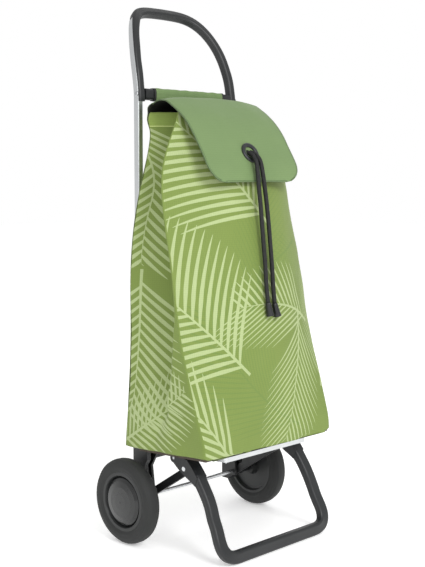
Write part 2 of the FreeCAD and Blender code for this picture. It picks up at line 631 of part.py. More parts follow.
# the two ends of the drawcord leave the hem at the mouth, pass the eyelet and hang down the front
CORD_ROUTES = {
    "drawcord_right": [
        (4.8, -67.5, 756), (4.8, -80, 751.5), (5, -95.5, 748), (5, -109, 736.5), (5.5, -114, 716),
        (7.5, -116.5, 694), (12.5, -118, 661), (16, -120.5, 620), (17.5, -124, 577),
        (19, -127.5, 536), (17.5, -132, 494), (18, -135.5, 466)],
    "drawcord_left": [
        (-4.8, -67.5, 756), (-4.8, -80, 751.5), (-5.5, -96, 748), (-6.5, -109.5, 735.5),
        (-7.5, -114, 713), (-7, -116, 690), (-4, -118, 655), (-2.5, -121, 615), (-1.5, -124.5, 574),
        (-0.5, -128.5, 534), (-2, -132.5, 496), (-1, -136, 469)],
}
CAP_AIMS = {"drawcord_right": (0.2, -0.14, -1), "drawcord_left": (0.12, -0.12, -1)}
cord_radius = size("cord_radius")
for name, route in CORD_ROUTES.items():
    points = [V(*point) for point in route]
    path, radii = rounded_path(points)
    start_section = Part.Wire(Part.makeCircle(cord_radius, points[0], points[1] - points[0]))
    tube = path.makePipeShell([start_section], True, False)
    expected = math.pi * cord_radius ** 2 * path.Length
    print(name, "length", round(path.Length, 1), "radii", radii,
          "volume ratio", round(tube.Volume / expected, 4))
    keep(feature(name, tube), name)
    end = points[-1] + V(0, 0, -0.9)
    along = V(*CAP_AIMS[name]).normalize()
    cap = Part.makeCone(cord_radius + 0.9, size("cap_radius"), size("cap_length") - 2, end, along)
    lip_at = end + along * (size("cap_length") - 2)
    lip = Part.makeCone(size("cap_radius"), size("cap_radius") - 1.8, 2, lip_at, along)
    cap = cap.fuse(lip).removeSplitter()
    keep(feature(name + "_cap", cap), name + "_cap")

# ---------------------------------------------------------------- check and write
doc.recompute()
for thing in doc.Objects:
    if "Invalid" in thing.State or "Error" in thing.State:
        raise RuntimeError("%s failed: %s" % (thing.Label, thing.State))
for part in parts:
    if part.Shape.isNull() or not part.Shape.isValid():
        raise RuntimeError("%s has no valid shape" % part.Label)
os.makedirs("parts", exist_ok=True)
for part in parts:
    part.Shape.exportStep("parts/%s.step" % part.Label)
whole = Part.makeCompound([part.Shape for part in parts])
box = whole.BoundBox
print(len(parts), "parts, box x %.1f %.1f y %.1f %.1f z %.1f %.1f" %
      (box.XMin, box.XMax, box.YMin, box.YMax, box.ZMin, box.ZMax))
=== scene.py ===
import functools
import math

import bmesh
import bpy
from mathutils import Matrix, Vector


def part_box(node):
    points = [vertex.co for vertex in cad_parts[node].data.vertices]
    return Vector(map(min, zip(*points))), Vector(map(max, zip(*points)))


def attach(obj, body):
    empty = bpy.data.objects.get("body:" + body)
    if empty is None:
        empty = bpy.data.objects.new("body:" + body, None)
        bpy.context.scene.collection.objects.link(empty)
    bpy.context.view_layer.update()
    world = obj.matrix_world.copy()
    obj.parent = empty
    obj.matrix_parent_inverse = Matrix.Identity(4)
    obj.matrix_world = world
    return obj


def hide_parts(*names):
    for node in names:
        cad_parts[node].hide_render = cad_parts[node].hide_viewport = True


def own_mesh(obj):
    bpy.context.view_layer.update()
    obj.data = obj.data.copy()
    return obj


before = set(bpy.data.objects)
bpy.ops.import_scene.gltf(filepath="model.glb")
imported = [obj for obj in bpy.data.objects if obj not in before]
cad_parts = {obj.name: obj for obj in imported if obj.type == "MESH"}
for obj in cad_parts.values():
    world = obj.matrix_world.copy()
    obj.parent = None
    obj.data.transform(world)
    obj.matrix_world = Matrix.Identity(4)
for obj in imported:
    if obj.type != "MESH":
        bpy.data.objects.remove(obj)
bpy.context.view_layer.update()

bl_info = {
    "name": "Shopping trolley on wheels",
    "version": (1, 0, 0),
    "blender": (4, 5, 0),
    "location": "3D View > Sidebar > Trolley",
    "description": "Builds the bag, cords and finishes of a two-wheeled shopping trolley round its frame",
    "category": "Object",
}

MM = 0.001
SLOPE = math.tan(math.radians(3.48))       # the platform rises to the front by this much
TOP_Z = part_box("bag_back")[1][2]           # top of the bag's back


# ---------------------------------------------------------------- node and colour helpers
def linear(hex_colour):
    """An sRGB hex colour as the linear RGBA that shaders take."""
    parts = [int(hex_colour[i:i + 2], 16) / 255 for i in (1, 3, 5)]
    return tuple(c / 12.92 if c <= 0.04045 else ((c + 0.055) / 1.055) ** 2.4 for c in parts) + (1.0,)


def add(tree, kind, inputs=None, **settings):
    """Adds one node: settings are its properties, inputs are values or sockets to link."""
    node = tree.nodes.new(kind)
    for name, value in settings.items():
        setattr(node, name, value)
    for socket, value in (inputs or {}).items():
        if isinstance(value, bpy.types.NodeSocket):
            tree.links.new(value, node.inputs[socket])
        else:
            node.inputs[socket].default_value = value
    return node


def start_material(name, colour, rough, metallic=0.0):
    """A new material with its Principled shader's even values set; gives the tree and shader."""
    material = bpy.data.materials.new(name)
    material.use_nodes = True
    material.diffuse_color = colour
    shader = material.node_tree.nodes["Principled BSDF"]
    shader.inputs["Base Color"].default_value = colour
    shader.inputs["Roughness"].default_value = rough
    shader.inputs["Metallic"].default_value = metallic
    return material, material.node_tree, shader


NOISE_LOW, NOISE_HIGH = 0.3, 0.7           # soft noise seldom leaves this range


def mottle(tree, shader, coords, colours, patch, roughs):
    """Uneven colour and gloss over a surface, in patches of that many millimetres."""
    cloud = add(tree, "ShaderNodeTexNoise", {"Vector": coords, "Scale": 1 / (patch * MM), "Detail": 4.0})
    one, other = (linear(colour) for colour in colours)
    tint = add(tree, "ShaderNodeMix", {"Factor": cloud.outputs["Fac"], 6: one, 7: other}, data_type="RGBA")
    gloss = add(tree, "ShaderNodeMapRange", {
        "Value": cloud.outputs["Fac"], "From Min": NOISE_LOW, "From Max": NOISE_HIGH,
        "To Min": roughs[0], "To Max": roughs[1]})
    tree.links.new(tint.outputs[2], shader.inputs["Base Color"])
    tree.links.new(gloss.outputs[0], shader.inputs["Roughness"])


def grain(tree, shader, coords, width, depth, strength, stretch=(1, 1, 1)):
    """Fine relief from noise, its width and depth in millimetres, drawn out along an axis by stretch."""
    place = add(tree, "ShaderNodeMapping", {"Vector": coords, "Scale": stretch})
    noise = add(tree, "ShaderNodeTexNoise", {"Vector": place.outputs[0], "Scale": 1 / (width * MM),
                                             "Detail": 3.0})
    bump = add(tree, "ShaderNodeBump", {"Height": noise.outputs["Fac"], "Strength": strength,
                                        "Distance": depth * MM})
    tree.links.new(bump.outputs[0], shader.inputs["Normal"])


# ---------------------------------------------------------------- hard finishes
def anodised_aluminium(settings):
    """Extruded aluminium, satin anodised: soft bright metal with fine lines along the extrusion."""
    material, tree, shader = start_material("anodised_aluminium", settings.aluminium, 0.3, 1.0)
    coords = add(tree, "ShaderNodeTexCoord").outputs["Object"]
    mottle(tree, shader, coords, ("#d9dbdc", "#c9cccd"), 55.6, (0.26, 0.36))
    grain(tree, shader, coords, 1.11, 0.2, 0.12, (1, 1, 0.02))
    return material


def moulded_plastic(name, colour, other, rough, grain_width):
    """Injection moulded plastic: an even colour with a fine spark-eroded grain."""
    material, tree, shader = start_material(name, linear(colour), rough)
    coords = add(tree, "ShaderNodeTexCoord").outputs["Object"]
    mottle(tree, shader, coords, (colour, other), 40, (rough - 0.05, rough + 0.07))
    grain(tree, shader, coords, grain_width, 0.2, 0.25)
    shader.inputs["IOR"].default_value = 1.5
    return material


def powder_coat():
    """Steel or aluminium tube, powder coated near black: slight orange peel."""
    material, tree, shader = start_material("powder_coat", linear("#1d1f20"), 0.42)
    coords = add(tree, "ShaderNodeTexCoord").outputs["Object"]
    mottle(tree, shader, coords, ("#202224", "#1a1c1d"), 83.3, (0.38, 0.48))
    grain(tree, shader, coords, 2.38, 0.3, 0.18)
    return material


def bright_metal(name, colour, rough):
    """Chromed or zinc-plated steel, turned or drawn: mirror-like with faint wear."""
    material, tree, shader = start_material(name, linear(colour), rough, 1.0)
    coords = add(tree, "ShaderNodeTexCoord").outputs["Object"]
    mottle(tree, shader, coords, (colour, "#b5b7b9"), 16.7, (rough, rough + 0.14))
    return material


def tyre_rubber():
    """Solid rubber tyre, compression moulded: dull dark grey with dust in its grain."""
    material, tree, shader = start_material("tyre_rubber", linear("#252626"), 0.72)
    coords = add(tree, "ShaderNodeTexCoord").outputs["Object"]
    mottle(tree, shader, coords, ("#222323", "#2f302f"), 33.3, (0.62, 0.8))
    grain(tree, shader, coords, 1.43, 0.3, 0.35)
    shader.inputs["Specular IOR Level"].default_value = 0.4
    return material


def gloss_cap():
    """The domed wheel cap, moulded and polished: near-black gloss."""
    material, tree, shader = start_material("gloss_cap", linear("#1a1c1c"), 0.24)
    coords = add(tree, "ShaderNodeTexCoord").outputs["Object"]
    mottle(tree, shader, coords, ("#1c1e1e", "#171818"), 50, (0.2, 0.32))
    shader.inputs["Coat Weight"].default_value = 0.2
    return material


def fibreboard():
    """Hard fibreboard stiffener, pressed: brown with short fibres."""
    material, tree, shader = start_material("fibreboard", linear("#4a4038"), 0.75)
    coords = add(tree, "ShaderNodeTexCoord").outputs["Object"]
    mottle(tree, shader, coords, ("#4f4439", "#3c342d"), 11.1, (0.7, 0.85))
    grain(tree, shader, coords, 2, 0.4, 0.3, (1, 0.2, 1))
    return material


# ---------------------------------------------------------------- cloth
WAVE_TURN = 20             # radians a metre of Blender's wave texture at scale 1
THREAD = 0.6               # thread spacing of the bag's cloth (mm)
LINING_THREAD = 0.8        # thread spacing of the lining (mm)
CREASE = 71.4              # size of the cloth's soft creases (mm)
THREAD_SHADE = (0.93, 1.04)    # colour between the threads and on them: painted shade in the gaps, a faint painted highlight on the threads


def weave(tree, shader, thread):
    """Plain weave on the cloth's own map, over soft creases; gives the map, threads and creases.

    Real threads are too fine to show, so they are drawn 2 pi times as wide.
    """
    cloth = add(tree, "ShaderNodeUVMap", uv_map="cloth").outputs[0]
    bands = []
    for direction in ("X", "Y"):
        wave = add(tree, "ShaderNodeTexWave", {"Vector": cloth, "Scale": 1 / (WAVE_TURN * thread * MM),
                                               "Distortion": 0.6, "Detail Scale": 3.0},
                   bands_direction=direction)
        bands.append(wave.outputs["Fac"])
    threads = add(tree, "ShaderNodeMath", {0: bands[0], 1: bands[1]}, operation="ADD").outputs[0]
    crease = add(tree, "ShaderNodeTexNoise", {"Vector": cloth, "Scale": 1 / (CREASE * MM), "Detail": 5.0,
                                              "Roughness": 0.6}).outputs["Fac"]
    fold = add(tree, "ShaderNodeBump", {"Height": crease, "Strength": 0.35, "Distance": 4 * MM})
    bump = add(tree, "ShaderNodeBump", {"Height": threads, "Strength": 0.25, "Distance": 0.3 * MM,
                                        "Normal": fold.outputs[0]})
    tree.links.new(bump.outputs[0], shader.inputs["Normal"])
    return cloth, threads, crease


def paint_thread_shade(tree, shader, colour, threads):
    """Gives the shader the cloth's colour, darker between the threads than on them: painted shade in the
    gaps and a faint painted highlight on the threads.
    """
    shade = add(tree, "ShaderNodeMapRange", {"Value": threads, "From Max": 2.0,
                                             "To Min": THREAD_SHADE[0], "To Max": THREAD_SHADE[1]})
    thread_shaded = add(tree, "ShaderNodeVectorMath", {0: colour, 1: shade.outputs[0]}, operation="MULTIPLY")
    tree.links.new(thread_shaded.outputs[0], shader.inputs["Base Color"])
    shader.inputs["Sheen Weight"].default_value = 0.08


LEAFLET_CURL = 1.5         # how fast a leaflet bows outwards (per metre)
SIDE_LEAD = 0.22           # leaflets stand this share of a pitch ahead on one side, and behind on the other
RIB_HALF = 2.6 * MM        # half width of a rib, 15 percent of the way up
STALK = 20 * MM            # bare length of rib below the first leaflet
FROND_SIZES = ("Bend", "Length", "Reach", "Pitch", "Lean", "Fill")
# How a frond is drawn in sums: a result, its operation and its terms, each a number or an earlier result.
FROND_STEPS = [
    ("x squared", "MULTIPLY", "x", "x"),
    ("bow", "MULTIPLY", "x squared", "Bend"),
    ("side", "SUBTRACT", "y", "bow"),
    ("away", "ABSOLUTE", "side"),
    # a leaflet leaves the rib leaning to the tip and then bows outwards
    ("away squared", "MULTIPLY", "away", "away"),
    ("curl", "MULTIPLY", "away squared", LEAFLET_CURL),
    ("lag", "MULTIPLY", "away", "Lean"),
    ("straight", "SUBTRACT", "x", "lag"),
    ("along", "ADD", "straight", "curl"),
    # the two sides' leaflets don't leave the rib at the same places
    ("which side", "SIGN", "side"),
    ("lead", "MULTIPLY", "Pitch", SIDE_LEAD),
    ("shift", "MULTIPLY", "which side", "lead"),
    ("shifted", "ADD", "along", "shift"),
    ("count", "DIVIDE", "shifted", "Pitch"),
    ("phase", "FRACT", "count"),
    ("centred", "SUBTRACT", "phase", 0.5),
    ("half off", "ABSOLUTE", "centred"),
    ("off centre", "MULTIPLY", "half off", 2.0),
    # leaflets shorten to the tip, and each is a little longer or shorter than the next
    ("share", "DIVIDE", "along", "Length"),
    ("share size", "ABSOLUTE", "share"),
    ("steep", "POWER", "share size", 2.2),
    ("rest", "SUBTRACT", 1.0, "steep"),
    ("rest kept", "MAXIMUM", "rest", 0.0),
    ("bell", "SQRT", "rest kept"),
    ("number", "FLOOR", "count"),
    ("turn", "MULTIPLY", "number", 12.7),
    ("wobble", "SINE", "turn"),
    ("jitter", "MULTIPLY_ADD", "wobble", 0.12, 0.9),
    ("full reach", "MULTIPLY", "Reach", "bell"),
    ("reach", "MULTIPLY", "full reach", "jitter"),
    ("reach kept", "MAXIMUM", "reach", 0.001),
    ("used", "DIVIDE", "away", "reach kept"),
    ("unused", "SUBTRACT", 1.0, "used"),
    ("left", "MAXIMUM", "unused", 0.0),
    # a leaflet is narrow where it leaves the rib, widest a quarter of the way out, and pointed
    ("from rib", "SUBTRACT", 1.0, "left"),
    ("widening", "MULTIPLY_ADD", "from rib", 2.2, 0.5),
    ("widen", "MINIMUM", "widening", 1.0),
    ("taper", "POWER", "left", 0.6),
    ("filled", "MULTIPLY", "taper", "Fill"),
    ("swell", "MULTIPLY", "filled", "widen"),
    ("blade", "LESS_THAN", "off centre", "swell"),
    ("past root", "GREATER_THAN", "share", 0.0),
    ("before tip", "LESS_THAN", "share", 1.0),
    ("inside", "MULTIPLY", "past root", "before tip"),
    ("leaflets", "MULTIPLY", "blade", "inside"),
    # the rib thins towards the tip
    ("gone", "DIVIDE", "x", "Length"),
    ("thinning", "SUBTRACT", 1.15, "gone"),
    ("rib half", "MULTIPLY", "thinning", RIB_HALF),
    ("on rib", "LESS_THAN", "away", "rib half"),
    ("past stalk", "GREATER_THAN", "x", -STALK),
    ("before end", "LESS_THAN", "x", "Length"),
    ("rib span", "MULTIPLY", "past stalk", "before end"),
    ("rib", "MULTIPLY", "on rib", "rib span"),
    ("leaf", "MAXIMUM", "leaflets", "rib"),
]


def palm_frond():
    """A node group that draws one palm frond in the plane of the cloth, in metres."""
    tree = bpy.data.node_groups.new("palm_frond", "ShaderNodeTree")
    for name in ("Cloth", "Root", "Angle"):
        tree.interface.new_socket(name, in_out="INPUT", socket_type="NodeSocketVector")
    for name in FROND_SIZES:
        tree.interface.new_socket(name, in_out="INPUT", socket_type="NodeSocketFloat")
    tree.interface.new_socket("Leaf", in_out="OUTPUT", socket_type="NodeSocketFloat")
    given = add(tree, "NodeGroupInput").outputs
    moved = add(tree, "ShaderNodeVectorMath", {0: given["Cloth"], 1: given["Root"]}, operation="SUBTRACT")
    turned = add(tree, "ShaderNodeVectorRotate", {"Vector": moved.outputs[0], "Rotation": given["Angle"]},
                 rotation_type="EULER_XYZ", invert=True)
    parts = add(tree, "ShaderNodeSeparateXYZ", {0: turned.outputs[0]}).outputs
    results = {name: given[name] for name in FROND_SIZES}
    results.update(x=parts["X"], y=parts["Y"])
    for result, operation, *terms in FROND_STEPS:
        values = {place: results.get(term, term) for place, term in enumerate(terms)}
        results[result] = add(tree, "ShaderNodeMath", values, operation=operation).outputs[0]
    add(tree, "NodeGroupOutput", {"Leaf": results["leaf"]})
    return tree


# each frond: root across and up the cloth (mm), heading (degrees), bend (per metre), length, leaflet
# reach and pitch (mm), lean, fill.  Across is 0 at the middle of the front and -350 at the back left edge.
FRONT_FRONDS = [
    (17, 632, 133, -0.25, 330, 175, 17, 0.85, 0.66),
    (-66, 352, 134, 0.15, 300, 165, 17.5, 0.8, 0.66),
    (-98, 152, 122, 0.2, 330, 72, 30, 1.9, 0.62),
    (142, 428, 150, 1.9, 200, 100, 15, 1.1, 0.5),
    (112, 432, 258, -0.35, 250, 88, 17, 1.5, 0.5),
    (176, 300, 76, 0.6, 200, 70, 16, 1.3, 0.4),
]
SIDE_FRONDS = [
    (-352, 830, 266, 0.1, 290, 165, 18, 0.8, 0.62),
    (-362, 510, 268, -0.1, 260, 190, 18, 0.8, 0.62),
    (-400, 198, 28, 0.2, 230, 80, 15, 0.8, 0.62),
    (350, 800, 274, 0.1, 300, 165, 18, 0.8, 0.62),
    (366, 470, 270, 0.2, 260, 180, 18, 0.9, 0.62),
    (400, 198, 152, 0.2, 230, 80, 15, 0.8, 0.62),
]
DIM_FRONDS = [
    (60, 225, 150, -1.2, 300, 130, 13, 1.3, 0.4),
    (-30, 470, 66, 0.5, 220, 90, 13, 1.2, 0.35),
    (128, 575, 196, 0.5, 150, 60, 12, 1.0, 0.3),
]
DIM_INK = 0.45             # how much of the dim leaves' ink covers the ground
FADE = 200                 # size of the ground's uneven dye (mm)
BACK_STARTS = 0.2          # metres round the bag from the middle of its front to where the hem starts
HEM_DEPTH = 26 * MM
STITCH_DEPTH, STITCH_HALF = 27 * MM, 0.9 * MM


def spread_fronds(tree, frond, cloth, fronds):
    """Where a list of fronds covers the cloth: 1 on a leaf and 0 beside it."""
    cover = 0.0
    for across, up, heading, bend, length, reach, pitch, lean, fill in fronds:
        leaf = add(tree, "ShaderNodeGroup", {
            "Cloth": cloth, "Root": (across * MM, up * MM, 0), "Angle": (0, 0, math.radians(heading)),
            "Bend": bend, "Length": length * MM, "Reach": reach * MM, "Pitch": pitch * MM,
            "Lean": lean, "Fill": fill}, node_tree=frond)
        cover = add(tree, "ShaderNodeMath", {0: cover, 1: leaf.outputs["Leaf"]},
                    operation="MAXIMUM").outputs[0]
    return cover


def printed_fabric(settings):
    """Coated polyester, screen printed with palm leaves: matt mid green, pale leaves, dim leaves."""
    material, tree, shader = start_material("printed_fabric", settings.cloth, 0.74)
    cloth, threads, _ = weave(tree, shader, THREAD)
    frond = palm_frond()
    front, side, dim = (spread_fronds(tree, frond, cloth, fronds)
                        for fronds in (FRONT_FRONDS, SIDE_FRONDS, DIM_FRONDS))
    panel = add(tree, "ShaderNodeAttribute", attribute_name="side_panel").outputs["Fac"]
    on_side = add(tree, "ShaderNodeMath", {0: panel, 1: 0.5}, operation="GREATER_THAN").outputs[0]
    pale = add(tree, "ShaderNodeMix", {"Factor": on_side, 2: front, 3: side}, data_type="FLOAT").outputs[0]
    faint = add(tree, "ShaderNodeMath", {0: dim, 1: DIM_INK}, operation="MULTIPLY").outputs[0]
    fade = add(tree, "ShaderNodeTexNoise", {"Vector": cloth, "Scale": 1 / (FADE * MM), "Detail": 2.0})
    # the hem round the back half of the mouth is plain, under one pale row of stitches
    place = add(tree, "ShaderNodeSeparateXYZ", {0: cloth}).outputs
    round_bag = add(tree, "ShaderNodeMath", {0: place["X"]}, operation="ABSOLUTE").outputs[0]
    at_back = add(tree, "ShaderNodeMath", {0: round_bag, 1: BACK_STARTS},
                  operation="GREATER_THAN").outputs[0]
    over_hem = add(tree, "ShaderNodeMath", {0: place["Y"], 1: TOP_Z - HEM_DEPTH}, operation="GREATER_THAN")
    hem = add(tree, "ShaderNodeMath", {0: over_hem.outputs[0], 1: at_back}, operation="MULTIPLY").outputs[0]
    by_stitch = add(tree, "ShaderNodeMath", {0: place["Y"], 1: TOP_Z - STITCH_DEPTH, 2: STITCH_HALF},
                    operation="COMPARE")
    stitch = add(tree, "ShaderNodeMath", {0: by_stitch.outputs[0], 1: at_back},
                 operation="MULTIPLY").outputs[0]
    colour = settings.cloth
    for share, ink in ((fade.outputs["Fac"], settings.cloth_light), (faint, settings.dim_leaf),
                       (pale, settings.pale_leaf), (hem, linear("#869b49")), (stitch, linear("#bccb7e"))):
        colour = add(tree, "ShaderNodeMix", {"Factor": share, 6: colour, 7: ink},
                     data_type="RGBA").outputs[2]
    # painted shade between the threads of the printed cloth, a faint painted highlight on them
    paint_thread_shade(tree, shader, colour, threads)
    return material


LID_STITCH, LID_STITCH_HALF = 3.1 * MM, 0.6 * MM
LID_TRIM = 1.1 * MM        # the lid's cut edge shows dark this far in
THREAD_INK = 0.7           # how much the dark thread covers the cloth


def plain_fabric(settings):
    """Dyed coated polyester: greyed leaf green, matt, with a dark row of stitches by its edge and painted
    shade in its soft creases.
    """
    material, tree, shader = start_material("plain_fabric", settings.lid, 0.78)
    _, threads, crease = weave(tree, shader, THREAD)
    edge = add(tree, "ShaderNodeAttribute", attribute_name="edge_gap").outputs["Fac"]
    stitch = add(tree, "ShaderNodeMath", {0: edge, 1: LID_STITCH, 2: LID_STITCH_HALF}, operation="COMPARE")
    trim = add(tree, "ShaderNodeMath", {0: edge, 1: LID_TRIM}, operation="LESS_THAN")
    line = add(tree, "ShaderNodeMath", {0: stitch.outputs[0], 1: trim.outputs[0]}, operation="MAXIMUM")
    soft = add(tree, "ShaderNodeMath", {0: line.outputs[0], 1: THREAD_INK}, operation="MULTIPLY")
    # painted shade: the colour darkens in the valleys of the soft creases and lightens on their ridges
    tint = add(tree, "ShaderNodeMix", {"Factor": crease, 6: settings.lid, 7: linear("#728a58")},
               data_type="RGBA")
    lined = add(tree, "ShaderNodeMix", {"Factor": soft.outputs[0], 6: tint.outputs[2],
                                        7: linear("#34452a")}, data_type="RGBA")
    # painted shade between the threads of the plain cloth, a faint painted highlight on them
    paint_thread_shade(tree, shader, lined.outputs[2], threads)
    return material


def lining_fabric():
    """Black PVC-backed polyester lining, calendered: dark with a slight shine."""
    material, tree, shader = start_material("lining_fabric", linear("#141513"), 0.6)
    weave(tree, shader, LINING_THREAD)
    return material


STRAND = 1.9               # width of a strand of the cords' braid (mm)
STRAND_SLANT = 0.75        # how far the strands lean from the cord's axis (radians)


def cord_braid():
    """Round braided polypropylene cord: strands cross it on a slant, with painted shade in the grooves
    between them.

    Real strands are too fine to show, so they are drawn 2 pi times as wide.
    """
    # the strands' own colour, and the painted shade of the grooves between them
    colour, other = linear("#131414"), linear("#060707")
    material, tree, shader = start_material("cord_braid", colour, 0.7)
    along = add(tree, "ShaderNodeUVMap", uv_map="cloth").outputs[0]
    waves = []
    for slant in (STRAND_SLANT, -STRAND_SLANT):
        place = add(tree, "ShaderNodeMapping", {"Vector": along, "Rotation": (0, 0, slant)})
        wave = add(tree, "ShaderNodeTexWave", {"Vector": place.outputs[0],
                                               "Scale": 1 / (WAVE_TURN * STRAND * MM)},
                   bands_direction="X")
        waves.append(wave.outputs["Fac"])
    plait = add(tree, "ShaderNodeMath", {0: waves[0], 1: waves[1]}, operation="MAXIMUM").outputs[0]
    # painted shade: darker where the strands dip, between their crossings
    tint = add(tree, "ShaderNodeMix", {"Factor": plait, 6: other, 7: colour}, data_type="RGBA")
    bump = add(tree, "ShaderNodeBump", {"Height": plait, "Strength": 0.8, "Distance": 0.8 * MM})
    tree.links.new(tint.outputs[2], shader.inputs["Base Color"])
    tree.links.new(bump.outputs[0], shader.inputs["Normal"])
    return material


NODE_FINISH = {
    "rail_left": "anodised_aluminium", "rail_right": "anodised_aluminium", "handle_loop": "handle_plastic",
    "crossbar": "handle_plastic", "crossbar_screws": "zinc_steel", "rail_bracket_left": "frame_plastic",
    "rail_bracket_right": "frame_plastic", "bracket_rivets": "chromed_steel",
    "lower_tie_bar": "foot_coating", "axle": "chromed_steel", "axle_spacers": "frame_plastic",
    "axle_push_nuts": "zinc_steel", "tyre_left": "tyre_rubber", "tyre_right": "tyre_rubber",
    "hub_left": "hub_plastic", "hub_right": "hub_plastic", "hub_bush_left": "bush_nylon",
    "hub_bush_right": "bush_nylon", "hubcap_left": "hubcap_plastic", "hubcap_right": "hubcap_plastic",
    "strut_left": "frame_plastic", "strut_right": "frame_plastic", "foot_loop": "foot_coating",
    "strut_rivets": "chromed_steel", "foot_pivot_pins": "zinc_steel", "fold_hinge_pins": "zinc_steel",
    "platform_frame": "anodised_aluminium", "base_board": "base_board", "base_studs": "stud_rubber",
}
FINISHES = {}


def make_finishes(settings):
    """Makes every material once and gives the CAD nodes theirs."""
    FINISHES.update({
        "anodised_aluminium": anodised_aluminium(settings),
        "handle_plastic": moulded_plastic("handle_plastic", "#1f2122", "#191b1c", 0.44, 1.2),
        "frame_plastic": moulded_plastic("frame_plastic", "#1b1d1e", "#161718", 0.42, 1.4),
        "foot_coating": powder_coat(),
        "chromed_steel": bright_metal("chromed_steel", "#d6d8da", 0.12),
        "zinc_steel": bright_metal("zinc_steel", "#c3c5c8", 0.24),
        "tyre_rubber": tyre_rubber(),
        "hub_plastic": moulded_plastic("hub_plastic", "#1e2020", "#181a1a", 0.38, 1.5),
        "hubcap_plastic": gloss_cap(),
        "bush_nylon": moulded_plastic("bush_nylon", "#d8d6cc", "#cbc8bd", 0.4, 1.5),
        "stud_rubber": moulded_plastic("stud_rubber", "#1d1e1f", "#171819", 0.5, 1.0),
        "eyelet_plastic": moulded_plastic("eyelet_plastic", "#232628", "#1c1f20", 0.4, 1.0),
        "cap_plastic": moulded_plastic("cap_plastic", "#1f2122", "#18191a", 0.36, 1.0),
        "base_board": fibreboard(),
        "printed_fabric": printed_fabric(settings),
        "plain_fabric": plain_fabric(settings),
        "lining_fabric": lining_fabric(),
        "cord_braid": cord_braid(),
    })
    for name, finish in NODE_FINISH.items():
        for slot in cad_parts[name].material_slots:
            slot.material = FINISHES[finish]


# ---------------------------------------------------------------- mesh helpers
def clear_selection():
    """Leaves edit mode and deselects everything."""
    if bpy.context.object and bpy.context.object.mode != "OBJECT":
        bpy.ops.object.mode_set(mode="OBJECT")
    bpy.ops.object.select_all(action="DESELECT")


def cloth_grid(name, columns, rows, place, flip=False):
    """A grid of cloth: place(column share, row share) gives its point and its place on the cloth."""
    clear_selection()
    bpy.ops.mesh.primitive_grid_add(x_subdivisions=columns, y_subdivisions=rows, size=2,
                                    calc_uvs=False, location=(0, 0, 0))
    piece = bpy.context.object
    piece.name = piece.data.name = name
    mesh = piece.data
    flat = []
    for vertex in mesh.vertices:
        point, on_cloth = place((vertex.co.x + 1) / 2, (vertex.co.y + 1) / 2)
        vertex.co = point
        flat.append(on_cloth)
    layer = mesh.uv_layers.new(name="cloth")
    for loop in mesh.loops:
        layer.data[loop.index].uv = flat[loop.vertex_index]
    bpy.ops.object.shade_smooth()
    if flip:
        bpy.ops.object.mode_set(mode="EDIT")
        bpy.ops.mesh.select_all(action="SELECT")
        bpy.ops.mesh.flip_normals()
        bpy.ops.object.mode_set(mode="OBJECT")
    return piece


def finish_with(piece, kind, **settings):
    """Adds one modifier with its settings and applies it."""
    modifier = piece.modifiers.new(kind.title(), kind)
    for name, value in settings.items():
        setattr(modifier, name, value)
    clear_selection()
    piece.select_set(True)
    bpy.context.view_layer.objects.active = piece
    bpy.ops.object.modifier_apply(modifier=modifier.name)


def crumple(piece, size, strength):
    """Small uneven swells of hanging cloth, their size and height in metres."""
    texture = bpy.data.textures.new(piece.name + "_swell", "CLOUDS")
    texture.noise_scale = size
    finish_with(piece, "DISPLACE", texture=texture, strength=strength, mid_level=0.5)


def dress(piece, *names):
    """Gives a piece its materials, the first one its main finish."""
    piece.data.materials.clear()
    for name in names:
        piece.data.materials.append(FINISHES[name])


def flatten_with_fold(piece):
    """Gives a piece its own copy of its mesh."""
    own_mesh(piece)


def smooth_through(heights, values, at):
    """A smooth curve through values at rising heights, read at one height (cubic Hermite)."""
    at = min(max(at, heights[0]), heights[-1])
    k = max(i for i in range(len(heights) - 1) if heights[i] <= at)
    rise = heights[k + 1] - heights[k]
    share = (at - heights[k]) / rise
    before, after = max(k - 1, 0), min(k + 2, len(heights) - 1)
    slope_low = (values[k + 1] - values[before]) / (heights[k + 1] - heights[before]) * rise
    slope_high = (values[after] - values[k]) / (heights[after] - heights[k]) * rise
    s2, s3 = share * share, share ** 3
    return ((2 * s3 - 3 * s2 + 1) * values[k] + (s3 - 2 * s2 + share) * slope_low
            + (3 * s2 - 2 * s3) * values[k + 1] + (s3 - s2) * slope_high)


# ---------------------------------------------------------------- the bag
# One row per height (mm): half width at the back edge; the inward fold of the side; the outward
# crease in front of it; the front corner; how far forward the middle of the front stands.
BAG_ROWS = [
    # z, back, fold x, fold y, crease x, crease y, corner x, corner y, front y
    (182.5, 175, 175.5, -18, 175.8, -95, 175, -146, -147),
    (212, 173, 174.5, -12, 176.5, -88, 175.5, -144, -147),
    (248, 169.5, 171, -30, 177, -70, 177, -134, -146),
    (284, 167, 163, -44, 177.5, -48, 178.5, -123, -144),
    (340, 163, 140, -34, 178, -57, 179, -106, -140),
    (400, 160.5, 124, -28, 178.5, -63, 179, -88, -135),
    (450, 160, 114, -24, 178.5, -67, 178.5, -76, -130),
    (500, 160, 108, -20, 178, -62, 178, -66, -124),
    (560, 157, 100, -14, 176.5, -51, 176.5, -54.5, -115),
    (620, 149, 88, -6, 174, -37, 174, -40, -105),
    (680, 135, 74, 2, 171, -26, 171, -28.5, -96),
    (720, 123, 64, 8, 164, -21, 164, -23.5, -84),
    (760, 112, 54, 12, 150, -19, 150, -21.5, -66),
    (790, 108.5, 48, 14, 136, -18, 136, -20.5, -48),
    (812, 116, 44, 16, 124, -16, 124, -18, -31),
    (828, 115, 42, 16, 116, -13, 116, -15, -19),
]
ROW_Z = [row[0] for row in BAG_ROWS]
BACK_Y = 74.0              # the plane of the bag's back edges
FRONT_ROUNDING = 2.3       # power of the front's curve: flat in the middle and turned in by the corners
